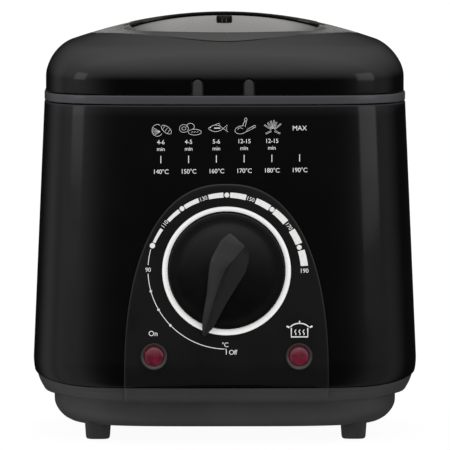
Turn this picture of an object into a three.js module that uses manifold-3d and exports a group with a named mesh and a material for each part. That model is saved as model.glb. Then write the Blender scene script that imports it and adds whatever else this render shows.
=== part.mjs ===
// A compact one-litre deep fryer: a tapering plastic housing on a stepped base tray with four feet, a trim
// collar that carries a fixed oil pot, a lift-out wire basket with its plug-in handle, and a lift-off domed
// lid with a sunken viewing window and a hinged filter cover. The front carries an arched control panel with
// a thermostat knob and two indicator lamps.
//
// Units are millimetres. +Z is up, the front faces -Y, and the feet stand on z = 0. The body's own centre
// line is moved back a little so that the origin lies under the middle of the whole object, knob and cord
// inlet included.

import * as THREE from "three";
import { mergeVertices } from "three/addons/utils/BufferGeometryUtils.js";
import Module from "manifold-3d";

const wasm = await Module();
wasm.setup();

// ---------------------------------------------------------------- driving dimensions
const HALF_WIDTH = 95; // of the body at its widest, just above the base tray
const HALF_DEPTH = 100;
const PLAN_POWER = 4; // the plan is a superellipse of this power: bowed faces, round corners
const AROUND = 32; // sides of a large outline
const WALL = 2.4; // plastic wall
const GAP = 0.3; // between pieces that touch
const FIT = 0.6; // between pieces that lift apart

const BELLY_Z = 38; // height of the widest line
const BAND_RX = 11; // the roll under the widest line, as a quarter ellipse
const BAND_RZ = 19;
const PAN_INSET = 10.3; // the lower pan stands in by this
const PAN_FLOOR_Z = 7;
const PAN_RX = 9.2;
const PAN_RZ = 9.5;
const PAN_ROLL_POWER = 1.64; // a softer roll than an ellipse's
const SEAM_Z = 27.2; // housing to tray at the front, rising towards the sides
const SEAM_RISE = 4.5;

const COLLAR_Z = 165.2; // underside of the trim ring
const LID_Z = 169.4; // top of the trim ring
const TOP_INSET = 5.5; // how far the taper brings the outline in at the trim ring
const CREST_Z = 207.8;
const LID_INSET = 6.2;
const SHOULDER_Z = 176.8; // the lid's skirt is upright up to here
const SHOULDER_START = 0.85; // share of the outline where the shoulder leaves the crown
const SHOULDER_DROP = 12.6;

const KNOB_Z = 84.4;
const BEZEL_R = 31.3;
const LAMP_X = 35.3;
const LAMP_Z = 42.9;
const LAMP_R = 5.55;
const POINTER_REST = -17.7; // degrees from straight down, clockwise from the front
const PANEL_HALF_WIDTH = 49.9;
const PANEL_TOP_Z = 126.7;
const PANEL_PROUD = 1.6;

const POT_HALF_WIDTH = 66.2;
const POT_HALF_DEPTH = 69.2;
const POT_FLOOR_Z = 79.5;
const POT_WALL = 1.5;
const BASKET_HALF_WIDTH = 57;
const BASKET_HALF_DEPTH = 60;
const BASKET_FLOOR_Z = 92;
const BASKET_RIM_Z = 160;
const WIRE_R = 1.5;

const BODY_SHIFT_Y = 5.65; // puts the origin under the middle of the whole object's depth

// ---------------------------------------------------------------- solids
const solidOf = (geometry) => {
  const bare = new THREE.BufferGeometry();
  bare.setAttribute("position", geometry.getAttribute("position"));
  if (geometry.index) bare.setIndex(geometry.index);
  const merged = mergeVertices(bare, 1e-4);
  return new wasm.Manifold(
    new wasm.Mesh({
      numProp: 3,
      vertProperties: new Float32Array(merged.attributes.position.array),
      triVerts: new Uint32Array(merged.index.array),
    }),
  );
};

const geometryOf = (solid) => {
  const mesh = solid.getMesh();
  const geometry = new THREE.BufferGeometry();
  geometry.setAttribute("position", new THREE.BufferAttribute(new Float32Array(mesh.vertProperties), 3));
  geometry.setIndex(new THREE.BufferAttribute(new Uint32Array(mesh.triVerts), 1));
  geometry.computeVertexNormals();
  return geometry;
};

const turnRound = (faces) => {
  for (let f = 0; f < faces.length; f += 3) [faces[f + 1], faces[f + 2]] = [faces[f + 2], faces[f + 1]];
};

// Joins rings of points, one after another. A loop of rings makes a tube wall; otherwise the ends are capped.
const loft = (rings, loop = false) => {
  const around = rings[0].length;
  const points = rings.flat();
  const faces = [];
  const spans = loop ? rings.length : rings.length - 1;
  for (let i = 0; i < spans; i++) {
    const near = i * around;
    const far = ((i + 1) % rings.length) * around;
    for (let j = 0; j < around; j++) {
      const k = (j + 1) % around;
      faces.push(near + j, near + k, far + k, near + j, far + k, far + j);
    }
  }
  if (!loop) {
    for (const [start, flip] of [[0, true], [(rings.length - 1) * around, false]]) {
      const middle = new THREE.Vector3();
      for (let j = 0; j < around; j++) middle.addScaledVector(points[start + j], 1 / around);
      const centre = points.push(middle) - 1;
      for (let j = 0; j < around; j++) {
        const a = start + j;
        const b = start + ((j + 1) % around);
        faces.push(...(flip ? [centre, b, a] : [centre, a, b]));
      }
    }
  }
  let volume = 0;
  for (let f = 0; f < faces.length; f += 3) {
    const [a, b, c] = [points[faces[f]], points[faces[f + 1]], points[faces[f + 2]]];
    volume += a.dot(new THREE.Vector3().crossVectors(b, c));
  }
  if (volume < 0) turnRound(faces);
  const geometry = new THREE.BufferGeometry().setFromPoints(points);
  geometry.setIndex(faces);
  return geometry;
};

const lathe = (profile, sides = 24) => {
  // a closed profile of [radius, height], turned round the local Z axis
  const points = profile.map(([r, z]) => new THREE.Vector2(r, z));
  if (profile[0][0] !== 0) points.push(points[0].clone());
  const geometry = new THREE.LatheGeometry(points, sides).rotateX(Math.PI / 2);
  const solid = solidOf(geometry);
  if (solid.volume() > 0) return solid;
  turnRound(geometry.index.array);
  return solidOf(geometry);
};

const cylinder = (radius, z0, z1, x = 0, y = 0, sides = 16) =>
  solidOf(
    new THREE.CylinderGeometry(radius, radius, z1 - z0, sides)
      .rotateX(Math.PI / 2)
      .translate(x, y, (z0 + z1) / 2),
  );

const box = (x0, x1, y0, y1, z0, z1) =>
  solidOf(
    new THREE.BoxGeometry(x1 - x0, y1 - y0, z1 - z0).translate((x0 + x1) / 2, (y0 + y1) / 2, (z0 + z1) / 2),
  );

// A prism of an outline of [x, y] points, upright between two heights.
const prism = (outline, z0, z1) => {
  const shape = new THREE.Shape(outline.map(([x, y]) => new THREE.Vector2(x, y)));
  const geometry = new THREE.ExtrudeGeometry(shape, { depth: z1 - z0, bevelEnabled: false });
  return solidOf(geometry.translate(0, 0, z0));
};

// A rod of round section along a smooth curve through points.
const rod = (points, radius, steps, sides = 3) => {
  const stops = points.map((p) => new THREE.Vector3(...p));
  const curve = new THREE.CatmullRomCurve3(stops, false, "catmullrom", 0.3);
  const section = new THREE.Shape();
  section.absarc(0, 0, radius, 0, 2 * Math.PI);
  return solidOf(
    new THREE.ExtrudeGeometry(section, {
      steps,
      curveSegments: sides, // half the number of sides
      extrudePath: curve,
    }),
  );
};

const join = (...solids) => solids.reduce((a, b) => a.add(b));
const cut = (solid, ...tools) => tools.reduce((a, b) => a.subtract(b), solid);

// ---------------------------------------------------------------- outlines in plan
const superRadius = (angle, a, b, power) =>
  (Math.abs(Math.cos(angle) / a) ** power + Math.abs(Math.sin(angle) / b) ** power) ** (-1 / power);

// Directions for the corners of every large outline, closer together where the outline turns.
const DIRECTIONS = (() => {
  const fine = 1440;
  const at = (i) => {
    const angle = (2 * Math.PI * i) / fine;
    const r = superRadius(angle, HALF_WIDTH, HALF_DEPTH, PLAN_POWER);
    return [r * Math.cos(angle), r * Math.sin(angle)];
  };
  const weights = [0];
  for (let i = 0; i < fine; i++) {
    const [[ax, ay], [bx, by], [cx, cy]] = [at(i), at(i + 1), at(i + 2)];
    const turn = Math.atan2(cy - by, cx - bx) - Math.atan2(by - ay, bx - ax);
    const step = Math.hypot(bx - ax, by - ay) / (7.2 * HALF_WIDTH);
    weights.push(weights[i] + step + Math.abs(Math.atan2(Math.sin(turn), Math.cos(turn))) / (2 * Math.PI));
  }
  return Array.from({ length: AROUND }, (_, k) => {
    const goal = (weights[fine] * k) / AROUND;
    const i = Math.max(1, weights.findIndex((w) => w >= goal));
    const share = (goal - weights[i - 1]) / (weights[i] - weights[i - 1]);
    return (2 * Math.PI * (i - 1 + share)) / fine;
  });
})();

const outline = (a, b, power = PLAN_POWER, y = 0) =>
  DIRECTIONS.map((angle) => {
    const r = superRadius(angle, a, b, power);
    return [r * Math.cos(angle), y + r * Math.sin(angle)];
  });

const ring = (a, b, z, power = PLAN_POWER) =>
  outline(a, b, power).map(([x, y]) => new THREE.Vector3(x, y, typeof z === "function" ? z(x, y) : z));

// A wall or ring whose section is a closed list of [inset from the widest outline, height].
const body = (profile) => {
  const rings = profile.map(([i, z]) => ring(HALF_WIDTH - i, HALF_DEPTH - i, z));
  return solidOf(loft(rings, true));
};

const taperInset = (z) => (TOP_INSET * Math.max(0, z - BELLY_Z)) / (COLLAR_Z - BELLY_Z);
const frontY = (z) => -(HALF_DEPTH - taperInset(z));
const seamZ = (x) => SEAM_Z + SEAM_RISE * Math.max(0, (Math.abs(x) - 60) / 35) ** 3;

// ---------------------------------------------------------------- the lid's outer surface
// A dome, round near its crest and taking the body's outline towards the edge, with a tighter shoulder.
const lidTop = (x, y, inset = 0) => {
  const across = Math.abs(x) / (HALF_WIDTH - LID_INSET - inset);
  const along = Math.abs(y) / (HALF_DEPTH - LID_INSET - inset);
  const share = Math.min(1, (across ** PLAN_POWER + along ** PLAN_POWER) ** (1 / PLAN_POWER));
  const edge = share * share;
  const dome = (1 - edge) * (across * across + along * along) + edge * edge;
  const u = Math.max(0, (share - SHOULDER_START) / (1 - SHOULDER_START));
  const drop = CREST_Z - SHOULDER_Z - SHOULDER_DROP;
  return CREST_Z - inset - drop * dome - SHOULDER_DROP * (1 - Math.sqrt(1 - u * u));
};

// A piece between two surfaces that follow the lid, above and below it, inside an outline of [x, y] points.
const lidSlab = (points, top, bottom, shares = [1, 0.5]) => {
  const cx = points.reduce((s, p) => s + p[0], 0) / points.length;
  const cy = points.reduce((s, p) => s + p[1], 0) / points.length;
  const layer = (share, offset) =>
    points.map(([x, y]) => {
      const [px, py] = [cx + share * (x - cx), cy + share * (y - cy)];
      return new THREE.Vector3(px, py, lidTop(px, py) + offset);
    });
  const rings = [
    ...[...shares].reverse().map((s) => layer(s, top)),
    ...shares.map((s) => layer(s, bottom)),
  ];
  return solidOf(loft(rings));
};

// ---------------------------------------------------------------- materials and nodes
const material = (color, roughness, metalness = 0) =>
  new THREE.MeshStandardMaterial({ color, roughness, metalness });
const BLACK = material(0x0b0b0c, 0.16);
const PANEL_BLACK = material(0x121213, 0.35);
const GREY = material(0x3b3b3e, 0.45);
const SILVER = material(0x9a9a98, 0.35, 0.3);
const CHROME = material(0xe8e8e8, 0.2, 0.8);
const STEEL = material(0xb8babb, 0.3, 1);
const DARK_STEEL = material(0x55575a, 0.4, 1);
const NONSTICK = material(0x1d1d1f, 0.5, 0.3);
const ALUMINIUM = material(0xc4c6c8, 0.4, 1);
const CLEAR = material(0xd8dde0, 0.05);
const RED = material(0x8e1420, 0.12);
const RUBBER = material(0x19191b, 0.8);
const SILICONE = material(0xc9c7c0, 0.6);
const FELT = material(0xe6e4dc, 0.95);
const CARBON = material(0x161616, 0.95);
const COPPER_LEAD = material(0xb5462b, 0.5);
const CERAMIC = material(0xdcd8cc, 0.5);

const fryer = new THREE.Group();
fryer.position.y = BODY_SHIFT_Y;

const add = (name, solid, mat, parent = fryer) => {
  const mesh = new THREE.Mesh(geometryOf(solid), mat);
  mesh.name = name;
  parent.add(mesh);
  return mesh;
};

// A frame on the sloping front: local Z points out of the panel, local Y up it, the origin on its outer face.
const LEAN = Math.atan2(TOP_INSET, COLLAR_Z - BELLY_Z);
const onFront = (x, z) => {
  const group = new THREE.Group();
  group.position.set(x, frontY(z) - PANEL_PROUD, z);
  group.rotation.x = Math.PI / 2 - LEAN;
  group.updateMatrix();
  fryer.add(group);
  return group;
};
const fromFront = (solid, group) => {
  const geometry = geometryOf(solid).applyMatrix4(group.matrix);
  return solidOf(geometry);
};

const dial = onFront(0, KNOB_Z);
const lamps = [-1, 1].map((side) => onFront(side * LAMP_X, LAMP_Z));

// ---------------------------------------------------------------- the quarter-round rolls under the belly
const roll = (insetAtCentre, zTop, rx, rz, steps, inset = 0, power = 2) =>
  Array.from({ length: steps + 1 }, (_, i) => {
    const angle = (Math.PI / 2) * (i / steps);
    const across = Math.max(0, Math.cos(angle)) ** (2 / power);
    const down = Math.sin(angle) ** (2 / power);
    return [insetAtCentre - (rx - inset) * across, zTop - (rz - inset) * down];
  });

// ---------------------------------------------------------------- housing
const BOSS_X = 75;
const BOSS_Y = 46;
const BOSS_Z = 34.3;
const corners = [[-1, -1], [1, -1], [-1, 1], [1, 1]];

const seamBlock = (offset, z0, z1, above) => {
  // the space above or below the seam, as a strip extruded along Y
  const steps = 10;
  const reach = 96;
  const line = Array.from({ length: steps + 1 }, (_, i) => {
    const x = reach * Math.sin((Math.PI * (i - steps / 2)) / steps);
    return new THREE.Vector2(x, seamZ(x) + offset);
  });
  const far = above ? z1 : z0;
  const shape = new THREE.Shape([...line, new THREE.Vector2(reach, far), new THREE.Vector2(-reach, far)]);
  const geometry = new THREE.ExtrudeGeometry(shape, { depth: 260, bevelEnabled: false });
  return solidOf(geometry.rotateX(Math.PI / 2).translate(0, 130, 0));
};

const skin = body([
  ...roll(BAND_RX, BELLY_Z, BAND_RX, BAND_RZ, 3).reverse(),
  [taperInset(100), 100],
  [TOP_INSET, COLLAR_Z - GAP],
  [TOP_INSET + WALL, COLLAR_Z - GAP],
  [taperInset(100) + WALL, 100],
  ...roll(BAND_RX, BELLY_Z, BAND_RX, BAND_RZ, 2, WALL),
]);

const INLET_X = 0;
const INLET_Z = 52;
const rearY = (z) => HALF_DEPTH - taperInset(z);
const acrossRear = (radius, x, z) =>
  solidOf(new THREE.CylinderGeometry(radius, radius, 40, 20).translate(x, rearY(z), z));

let housing = skin.intersect(seamBlock(GAP / 2, 0, 230, true));
for (const [sx, sy] of corners) {
  const rib = box(...[sx * BOSS_X, sx * 91].sort((p, q) => p - q), sy * BOSS_Y - 3, sy * BOSS_Y + 3, 42, 62);
  housing = join(housing, cylinder(4.5, BOSS_Z, 62, sx * BOSS_X, sy * BOSS_Y, 10), rib);
  housing = cut(housing, cylinder(1.8, BOSS_Z - 1, 56, sx * BOSS_X, sy * BOSS_Y, 8));
}
const SHAFT_R = 3;
housing = cut(
  housing,
  fromFront(cylinder(SHAFT_R + 2, -20, 5), dial),
  ...lamps.map((lamp) => fromFront(cylinder(LAMP_R + 0.6, -20, 5), lamp)),
  acrossRear(6.4, INLET_X, INLET_Z),
);
add("housing", housing, BLACK);

// ---------------------------------------------------------------- base tray, its feet and screws
const panRoll = (steps, inset = 0) =>
  roll(PAN_INSET + PAN_RX, PAN_FLOOR_Z + PAN_RZ, PAN_RX, PAN_RZ, steps, inset, PAN_ROLL_POWER);
const traySkin = body([
  ...panRoll(3).reverse(),
  [PAN_INSET, BELLY_Z - BAND_RZ - 0.4],
  ...roll(BAND_RX, BELLY_Z, BAND_RX, BAND_RZ, 3).reverse(),
  ...roll(BAND_RX, BELLY_Z, BAND_RX, BAND_RZ, 2, WALL),
  [PAN_INSET + WALL, BELLY_Z - BAND_RZ - 0.4],
  ...panRoll(2, WALL),
]);
const FLOOR_INSET = PAN_INSET + PAN_RX - 0.5;
const trayFloor = prism(
  outline(HALF_WIDTH - FLOOR_INSET, HALF_DEPTH - FLOOR_INSET),
  PAN_FLOOR_Z,
  PAN_FLOOR_Z + WALL,
);

// The raised block of the tray that carries the control panel's arch down to the step.
const panelStrip = (z0, z1, grow = 0) =>
  box(-PANEL_HALF_WIDTH - grow, PANEL_HALF_WIDTH + grow, -120, -60, z0, z1);
const proudSkin = (z0, z1, proud, inside) => {
  // the body's skin from z0 to z1, from `inside` to `proud` beyond its outer face
  const at = (z) => {
    const low = Math.min(1, Math.max(0, (BELLY_Z - z) / BAND_RZ));
    return z >= BELLY_Z ? taperInset(z) : BAND_RX * (1 - Math.sqrt(1 - low * low));
  };
  const levels = [z0, 24, 29, BELLY_Z, z1].filter((z) => z >= z0 && z <= z1);
  return body([
    ...levels.map((z) => [at(z) - proud, z]),
    ...levels.reverse().map((z) => [at(z) + inside, z]),
  ]);
};
const trayStrip = proudSkin(19.7, 40, PANEL_PROUD, 1.2).intersect(panelStrip(0, 60));

const SHIELD_Z = 44;
const STAND_X = 50;
const STAND_Y = 40;
let tray = join(traySkin, trayFloor, trayStrip).intersect(seamBlock(-GAP / 2, 0, 230, false));
for (const [sx, sy] of corners) {
  tray = join(
    tray,
    cylinder(6, 16, BOSS_Z - GAP, sx * BOSS_X, sy * BOSS_Y, 10),
    cylinder(5, PAN_FLOOR_Z + 0.5, SHIELD_Z - GAP, sx * STAND_X, sy * STAND_Y, 8),
  );
}
// Each foot is a tapered rubber post that plugs into the tray.
const FOOT_X = 62.3;
const FOOT_Y = 66;
const FOOT_HALF = 6.7;
const footRing = (half, z) =>
  Array.from({ length: 12 }, (_, i) => {
    const angle = (2 * Math.PI * (i + 0.5)) / 12;
    const r = superRadius(angle, half, half, 3.2);
    return new THREE.Vector3(r * Math.cos(angle), r * Math.sin(angle), z);
  });
const footSolid = solidOf(
  loft([
    footRing(FOOT_HALF - 2.4, 0),
    footRing(FOOT_HALF - 1.3, 1.4),
    footRing(FOOT_HALF, 11),
    footRing(FOOT_HALF, 20),
  ]),
);
const footPocket = solidOf(loft([footRing(FOOT_HALF + GAP, 0), footRing(FOOT_HALF + GAP, 30)]));
const FOOT_NAMES = ["foot_front_left", "foot_front_right", "foot_rear_left", "foot_rear_right"];
corners.forEach(([sx, sy], i) => {
  tray = cut(tray, footPocket.translate([sx * FOOT_X, sy * FOOT_Y, 0]));
  const foot = add(FOOT_NAMES[i], footSolid, RUBBER);
  foot.position.set(sx * FOOT_X, sy * FOOT_Y, 0);
  tray = cut(
    tray,
    cylinder(4.3, 0, 24, sx * BOSS_X, sy * BOSS_Y, 10),
    cylinder(1.9, 20, BOSS_Z + 2, sx * BOSS_X, sy * BOSS_Y, 8),
  );
});
const VENTS = 5;
for (let i = 0; i < VENTS; i++) {
  const x = (i - (VENTS - 1) / 2) * 12;
  tray = cut(tray, box(x - 1.3, x + 1.3, -22, 22, PAN_FLOOR_Z - 1, PAN_FLOOR_Z + WALL + 1));
}
add("base_tray", tray, GREY);

const screw = (headR, headZ, headH, shankR, tipZ) =>
  cut(
    join(
      cylinder(headR, headZ, headZ + headH, 0, 0, 12),
      cylinder(shankR, headZ + headH - 0.2, tipZ, 0, 0, 8),
    ),
    box(-headR * 0.7, headR * 0.7, -0.5, 0.5, headZ - 1, headZ + 1),
    box(-0.5, 0.5, -headR * 0.7, headR * 0.7, headZ - 1, headZ + 1),
  );
corners.forEach(([sx, sy], i) => {
  const fixing = add(`housing_screw_${i + 1}`, screw(3.6, 21, 2.7, 1.4, 52), STEEL);
  fixing.position.set(sx * BOSS_X, sy * BOSS_Y, 0);
});

// ---------------------------------------------------------------- trim collar: ring, lid spigot and two tabs
const POT_CLEAR = 1.3;
const plateInsetX = HALF_WIDTH - POT_HALF_WIDTH - POT_CLEAR;
const PLATE_THICK = 2;
const SPIGOT_INSET = LID_INSET + WALL + FIT;
const SPIGOT_TOP_Z = LID_Z + 6;
const TAB_X = 12.5; // of each tab from the middle of the pair
const TAB_MIDDLE = -1.5;
const TAB_HALF = 2.45;
const TAB_TOP_Z = 177.4;
const tabShape = (half, top) => {
  const shape = new THREE.Shape();
  shape.moveTo(-half, LID_Z - 1);
  shape.lineTo(half, LID_Z - 1);
  shape.absarc(0, top - half, half, 0, Math.PI);
  shape.closePath();
  return shape;
};
const tabSolid = (x, half, top, y0, y1) =>
  solidOf(
    new THREE.ExtrudeGeometry(tabShape(half, top), { depth: y1 - y0, bevelEnabled: false, curveSegments: 8 })
      .rotateX(Math.PI / 2)
      .translate(x, y1, 0),
  );
const LID_FRONT = -(HALF_DEPTH - LID_INSET);
let collar = body([
  [TOP_INSET, COLLAR_Z],
  [TOP_INSET, LID_Z],
  [SPIGOT_INSET, LID_Z],
  [SPIGOT_INSET, SPIGOT_TOP_Z],
  [SPIGOT_INSET + 2, SPIGOT_TOP_Z],
  [SPIGOT_INSET + 2, LID_Z],
  [plateInsetX, LID_Z],
  [plateInsetX, LID_Z - PLATE_THICK],
  [TOP_INSET + WALL + FIT + 1.8, LID_Z - PLATE_THICK],
  [TOP_INSET + WALL + FIT + 1.8, COLLAR_Z - 5],
  [TOP_INSET + WALL + FIT, COLLAR_Z - 5],
  [TOP_INSET + WALL + FIT, COLLAR_Z],
]);
for (const side of [-1, 1]) {
  const x = TAB_MIDDLE + side * TAB_X;
  collar = join(collar, tabSolid(x, TAB_HALF, TAB_TOP_Z, LID_FRONT + 0.2, LID_FRONT + 4));
}
add("collar", collar, GREY);

// ---------------------------------------------------------------- oil pot and what heats it
const potRing = (inset, z) => ring(POT_HALF_WIDTH - inset, POT_HALF_DEPTH - inset, z);
const FLANGE_OUT = 6.6;
const potSolid = solidOf(
  loft([
    potRing(9, POT_FLOOR_Z),
    potRing(3.6, POT_FLOOR_Z + 1.6),
    potRing(1.5, POT_FLOOR_Z + 6),
    potRing(0, LID_Z + GAP),
    potRing(-FLANGE_OUT, LID_Z + GAP),
    potRing(-FLANGE_OUT, LID_Z + GAP + 1.2),
    potRing(POT_WALL, LID_Z + GAP + 1.2),
    potRing(1.5 + POT_WALL, POT_FLOOR_Z + 6 + POT_WALL),
    potRing(3.6 + POT_WALL, POT_FLOOR_Z + 1.6 + POT_WALL),
    potRing(9, POT_FLOOR_Z + POT_WALL),
  ]),
);
add("oil_pot", potSolid, NONSTICK);

const PLATE_Z = POT_FLOOR_Z - GAP;
const ROD_X = 40;
add("element_plate", prism(outline(50, 52, 3), PLATE_Z - 3, PLATE_Z), ALUMINIUM);

// The tubular element: an open ring with both cold ends turned down at the back.
const ELEMENT_Z = PLATE_Z - 3 - GAP - 3.5;
const ELEMENT_R = 32;
const elementPath = () => {
  const open = 0.42;
  const turns = 14;
  const points = [[-12, 46, ELEMENT_Z - 20], [-12, 46, ELEMENT_Z - 8], [-12, 41, ELEMENT_Z]];
  for (let i = 0; i <= turns; i++) {
    const angle = Math.PI / 2 + open + ((2 * Math.PI - 2 * open) * i) / turns;
    points.push([ELEMENT_R * Math.cos(angle), ELEMENT_R * Math.sin(angle), ELEMENT_Z]);
  }
  points.push([12, 41, ELEMENT_Z], [12, 46, ELEMENT_Z - 8], [12, 46, ELEMENT_Z - 20]);
  return points;
};
add("heating_element", rod(elementPath(), 3.4, 44, 4), DARK_STEEL);

const cutout = join(
  cylinder(8, PLATE_Z - 3 - GAP - 8, PLATE_Z - 3 - GAP, 0, 0, 20),
  box(-13, 13, -4, 4, PLATE_Z - 3 - GAP - 1.2, PLATE_Z - 3 - GAP),
  box(-6.5, -5.7, -2.5, 2.5, PLATE_Z - 3 - GAP - 15, PLATE_Z - 3 - GAP - 7),
  box(5.7, 6.5, -2.5, 2.5, PLATE_Z - 3 - GAP - 15, PLATE_Z - 3 - GAP - 7),
);
add("thermal_cutout", cutout, CERAMIC);

const shieldRing = (inset, z) => ring(70 - inset, 75 - inset, z);
const heatShield = cut(
  solidOf(
    loft([
      shieldRing(1.5, SHIELD_Z),
      shieldRing(0, SHIELD_Z + 1.5),
      shieldRing(0, SHIELD_Z + 14),
      shieldRing(0.9, SHIELD_Z + 14),
      shieldRing(0.9, SHIELD_Z + 1.9),
      shieldRing(2, SHIELD_Z + 0.9),
    ]),
  ),
  ...[-1, 1].map((side) => cylinder(2.4, SHIELD_Z - 2, SHIELD_Z + 4, side * ROD_X, 0, 10)),
  box(-20, 20, 40, 52, SHIELD_Z - 2, SHIELD_Z + 4),
);
add("heat_shield", heatShield, ALUMINIUM);

[["left", -1], ["right", 1]].forEach(([name, side]) => {
  const tie = join(
    cylinder(2, SHIELD_Z - 8, PLATE_Z - 3 - GAP, 0, 0, 10),
    cylinder(4, SHIELD_Z + 0.9 + GAP, SHIELD_Z + 6, 0, 0, 6),
  );
  add(`tie_rod_${name}`, tie, STEEL).position.set(side * ROD_X, 0, 0);
  const nut = cut(
    cylinder(4.2, SHIELD_Z - 3.6, SHIELD_Z - GAP, 0, 0, 6),
    cylinder(2 + GAP, SHIELD_Z - 6, SHIELD_Z + 1, 0, 0, 10),
  );
  add(`tie_nut_${name}`, nut, STEEL).position.set(side * ROD_X, 0, 0);
});

// ---------------------------------------------------------------- control panel
const archPoints = (grow = 0) => {
  const centreZ = 30;
  const power = 2.38;
  const steps = 28;
  const points = [];
  for (let i = 0; i <= steps; i++) {
    const angle = (Math.PI * i) / steps;
    const r = superRadius(angle, PANEL_HALF_WIDTH + grow, PANEL_TOP_Z - centreZ + grow, power);
    points.push(new THREE.Vector2(r * Math.cos(angle), centreZ + r * Math.sin(angle)));
  }
  for (const side of [-1, 1]) points.push(new THREE.Vector2(side * (PANEL_HALF_WIDTH + grow), 10));
  return points;
};
const archPrism = solidOf(
  new THREE.ExtrudeGeometry(new THREE.Shape(archPoints()), { depth: 60, bevelEnabled: false })
    .rotateX(Math.PI / 2)
    .translate(0, -60, 0),
);
const controlPanel = cut(
  proudSkin(19.7, 140, PANEL_PROUD, -GAP).intersect(archPrism).intersect(seamBlock(GAP / 2, 0, 230, true)),
  fromFront(cylinder(SHAFT_R + 1.2, -20, 5), dial),
  ...lamps.map((lamp) => fromFront(cylinder(LAMP_R + 0.35, -20, 5), lamp)),
);
add("control_panel", controlPanel, PANEL_BLACK);

// ---------------------------------------------------------------- dial bezel, knob, thermostat
add(
  "dial_bezel",
  lathe(
    [[BEZEL_R - 2.7, GAP], [BEZEL_R, GAP], [BEZEL_R, 1.3], [BEZEL_R - 0.9, 2.4], [BEZEL_R - 2.7, 2.4]],
    40,
  ),
  CHROME,
  dial,
);

const DISC_R = BEZEL_R - 2.7 - 0.5;
const GRIP_TAIL = -18;
const GRIP_TIP = 33.5;
const GRIP_HALF = 9.4;
const gripRing = (widthShare, height) =>
  Array.from({ length: 28 }, (_, i) => {
    const t = (2 * Math.PI * i) / 28;
    const along = (GRIP_TAIL + GRIP_TIP) / 2 - ((GRIP_TIP - GRIP_TAIL) / 2) * Math.cos(t);
    const taper = 0.42 + 0.78 * ((1 + Math.cos(t)) / 2) ** 0.8;
    const share = (along - GRIP_TAIL) / (GRIP_TIP - GRIP_TAIL);
    const endShare = 1 - (1 - widthShare) * 0.25;
    return new THREE.Vector3(
      widthShare * GRIP_HALF * taper * Math.sin(t),
      -(along - 2) * endShare - 2,
      height(share),
    );
  });
const gripTop = (share) => 16 - 8.5 * share ** 1.3;
const grip = solidOf(
  loft([
    gripRing(1, () => 3.2),
    gripRing(0.8, (share) => 3.2 + 0.55 * (gripTop(share) - 3.2)),
    gripRing(0.42, gripTop),
  ]),
);
const BORE_TOP = 9;
const disc = lathe(
  [[0, 1], [DISC_R, 1], [DISC_R, 3.2], [DISC_R - 1.4, 4.4], [22, 4.4], [19, 5.2], [10, 6.4], [0, 6.8]],
  40,
);
const knob = new THREE.Group();
knob.rotation.z = THREE.MathUtils.degToRad(POINTER_REST);
dial.add(knob);
add("knob", cut(join(disc, grip), cylinder(SHAFT_R + GAP, 0, BORE_TOP, 0, 0, 14)), BLACK, knob);

const shaftFlat = box(1.6, 6, -6, 6, -2, 20);
add("thermostat_shaft", cut(cylinder(SHAFT_R, -13, BORE_TOP - 1, 0, 0, 14), shaftFlat), STEEL, knob);

const thermostat = cut(
  join(
    cylinder(13, -22, -8, 0, 0, 20),
    box(-9, 9, -19, 5, -21, -10),
    box(-8, -7.2, -27, -18, -18, -13),
    box(7.2, 8, -27, -18, -18, -13),
  ),
  cylinder(SHAFT_R + 0.5, -14, 0, 0, 0, 14),
);
add("thermostat", thermostat, CERAMIC, dial);
const bracket = cut(
  box(-22, 22, -9, 9, -7.6, -6.4),
  cylinder(SHAFT_R + 1, -12, 0, 0, 0, 14),
  ...[-1, 1].map((side) => cylinder(1.9, -12, 0, side * 18, 0, 10)),
);
add("thermostat_bracket", bracket, STEEL, dial);
[["left", -1], ["right", 1]].forEach(([name, side]) => {
  const fixing = join(cylinder(3, -9.6, -7.9, 0, 0, 12), cylinder(1.5, -8.2, -4.7, 0, 0, 10));
  add(`bracket_screw_${name}`, fixing, STEEL, dial).position.set(side * 18, 0, 0);
});

// The sensing bulb lies along the pot's front wall, at the end of its capillary.
const BULB_Y = -POT_HALF_DEPTH - 3.2;
const bulb = solidOf(
  new THREE.CylinderGeometry(2.6, 2.6, 46, 10).rotateZ(Math.PI / 2).translate(8, BULB_Y, 118),
);
const capillaryPath = [
  [31, BULB_Y, 118],
  [40, BULB_Y - 1.8, 114],
  [42, -80, 100],
  [30, -82, 88],
  [16.5, -83, 84.5],
];
const capillary = rod(capillaryPath, 1, 14);
add("thermostat_bulb", join(bulb, capillary), COPPER_LEAD);

// ---------------------------------------------------------------- indicator lamps
const RIM_IN = LAMP_R + 0.3;
const RIM_OUT = LAMP_R + 0.9;
const lampRim = lathe(
  [[RIM_IN, GAP], [RIM_OUT, GAP], [RIM_OUT, 1], [RIM_OUT - 0.3, 1.5], [RIM_IN, 1.5]],
  20,
);
const lampLens = lathe([[0, -5], [LAMP_R, -5], [LAMP_R, 1], [LAMP_R - 1.2, 2], [0, 2.4]], 20);
const neonLamp = lathe([[0, -19], [2.6, -19], [2.6, -7.5], [1.4, -6], [0, -5.6]], 14);
["on", "ready"].forEach((name, i) => {
  add(`lamp_bezel_${name}`, lampRim, CHROME, lamps[i]);
  add(`lamp_lens_${name}`, lampLens, RED, lamps[i]);
  add(`neon_lamp_${name}`, neonLamp, CLEAR, lamps[i]);
});

// ---------------------------------------------------------------- cord inlet, terminal block, internal leads
const inlet = lathe([[3.4, -4], [5.9, -4], [5.9, 0.3], [8.5, 0.6], [8.5, 2], [6.5, 4], [3.4, 4]], 20);
const grommet = add("cord_grommet", join(inlet, cylinder(3.8, -3.4, -1.8)), RUBBER);
grommet.rotation.x = -Math.PI / 2 + LEAN;
grommet.position.set(INLET_X, rearY(INLET_Z), INLET_Z);

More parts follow.
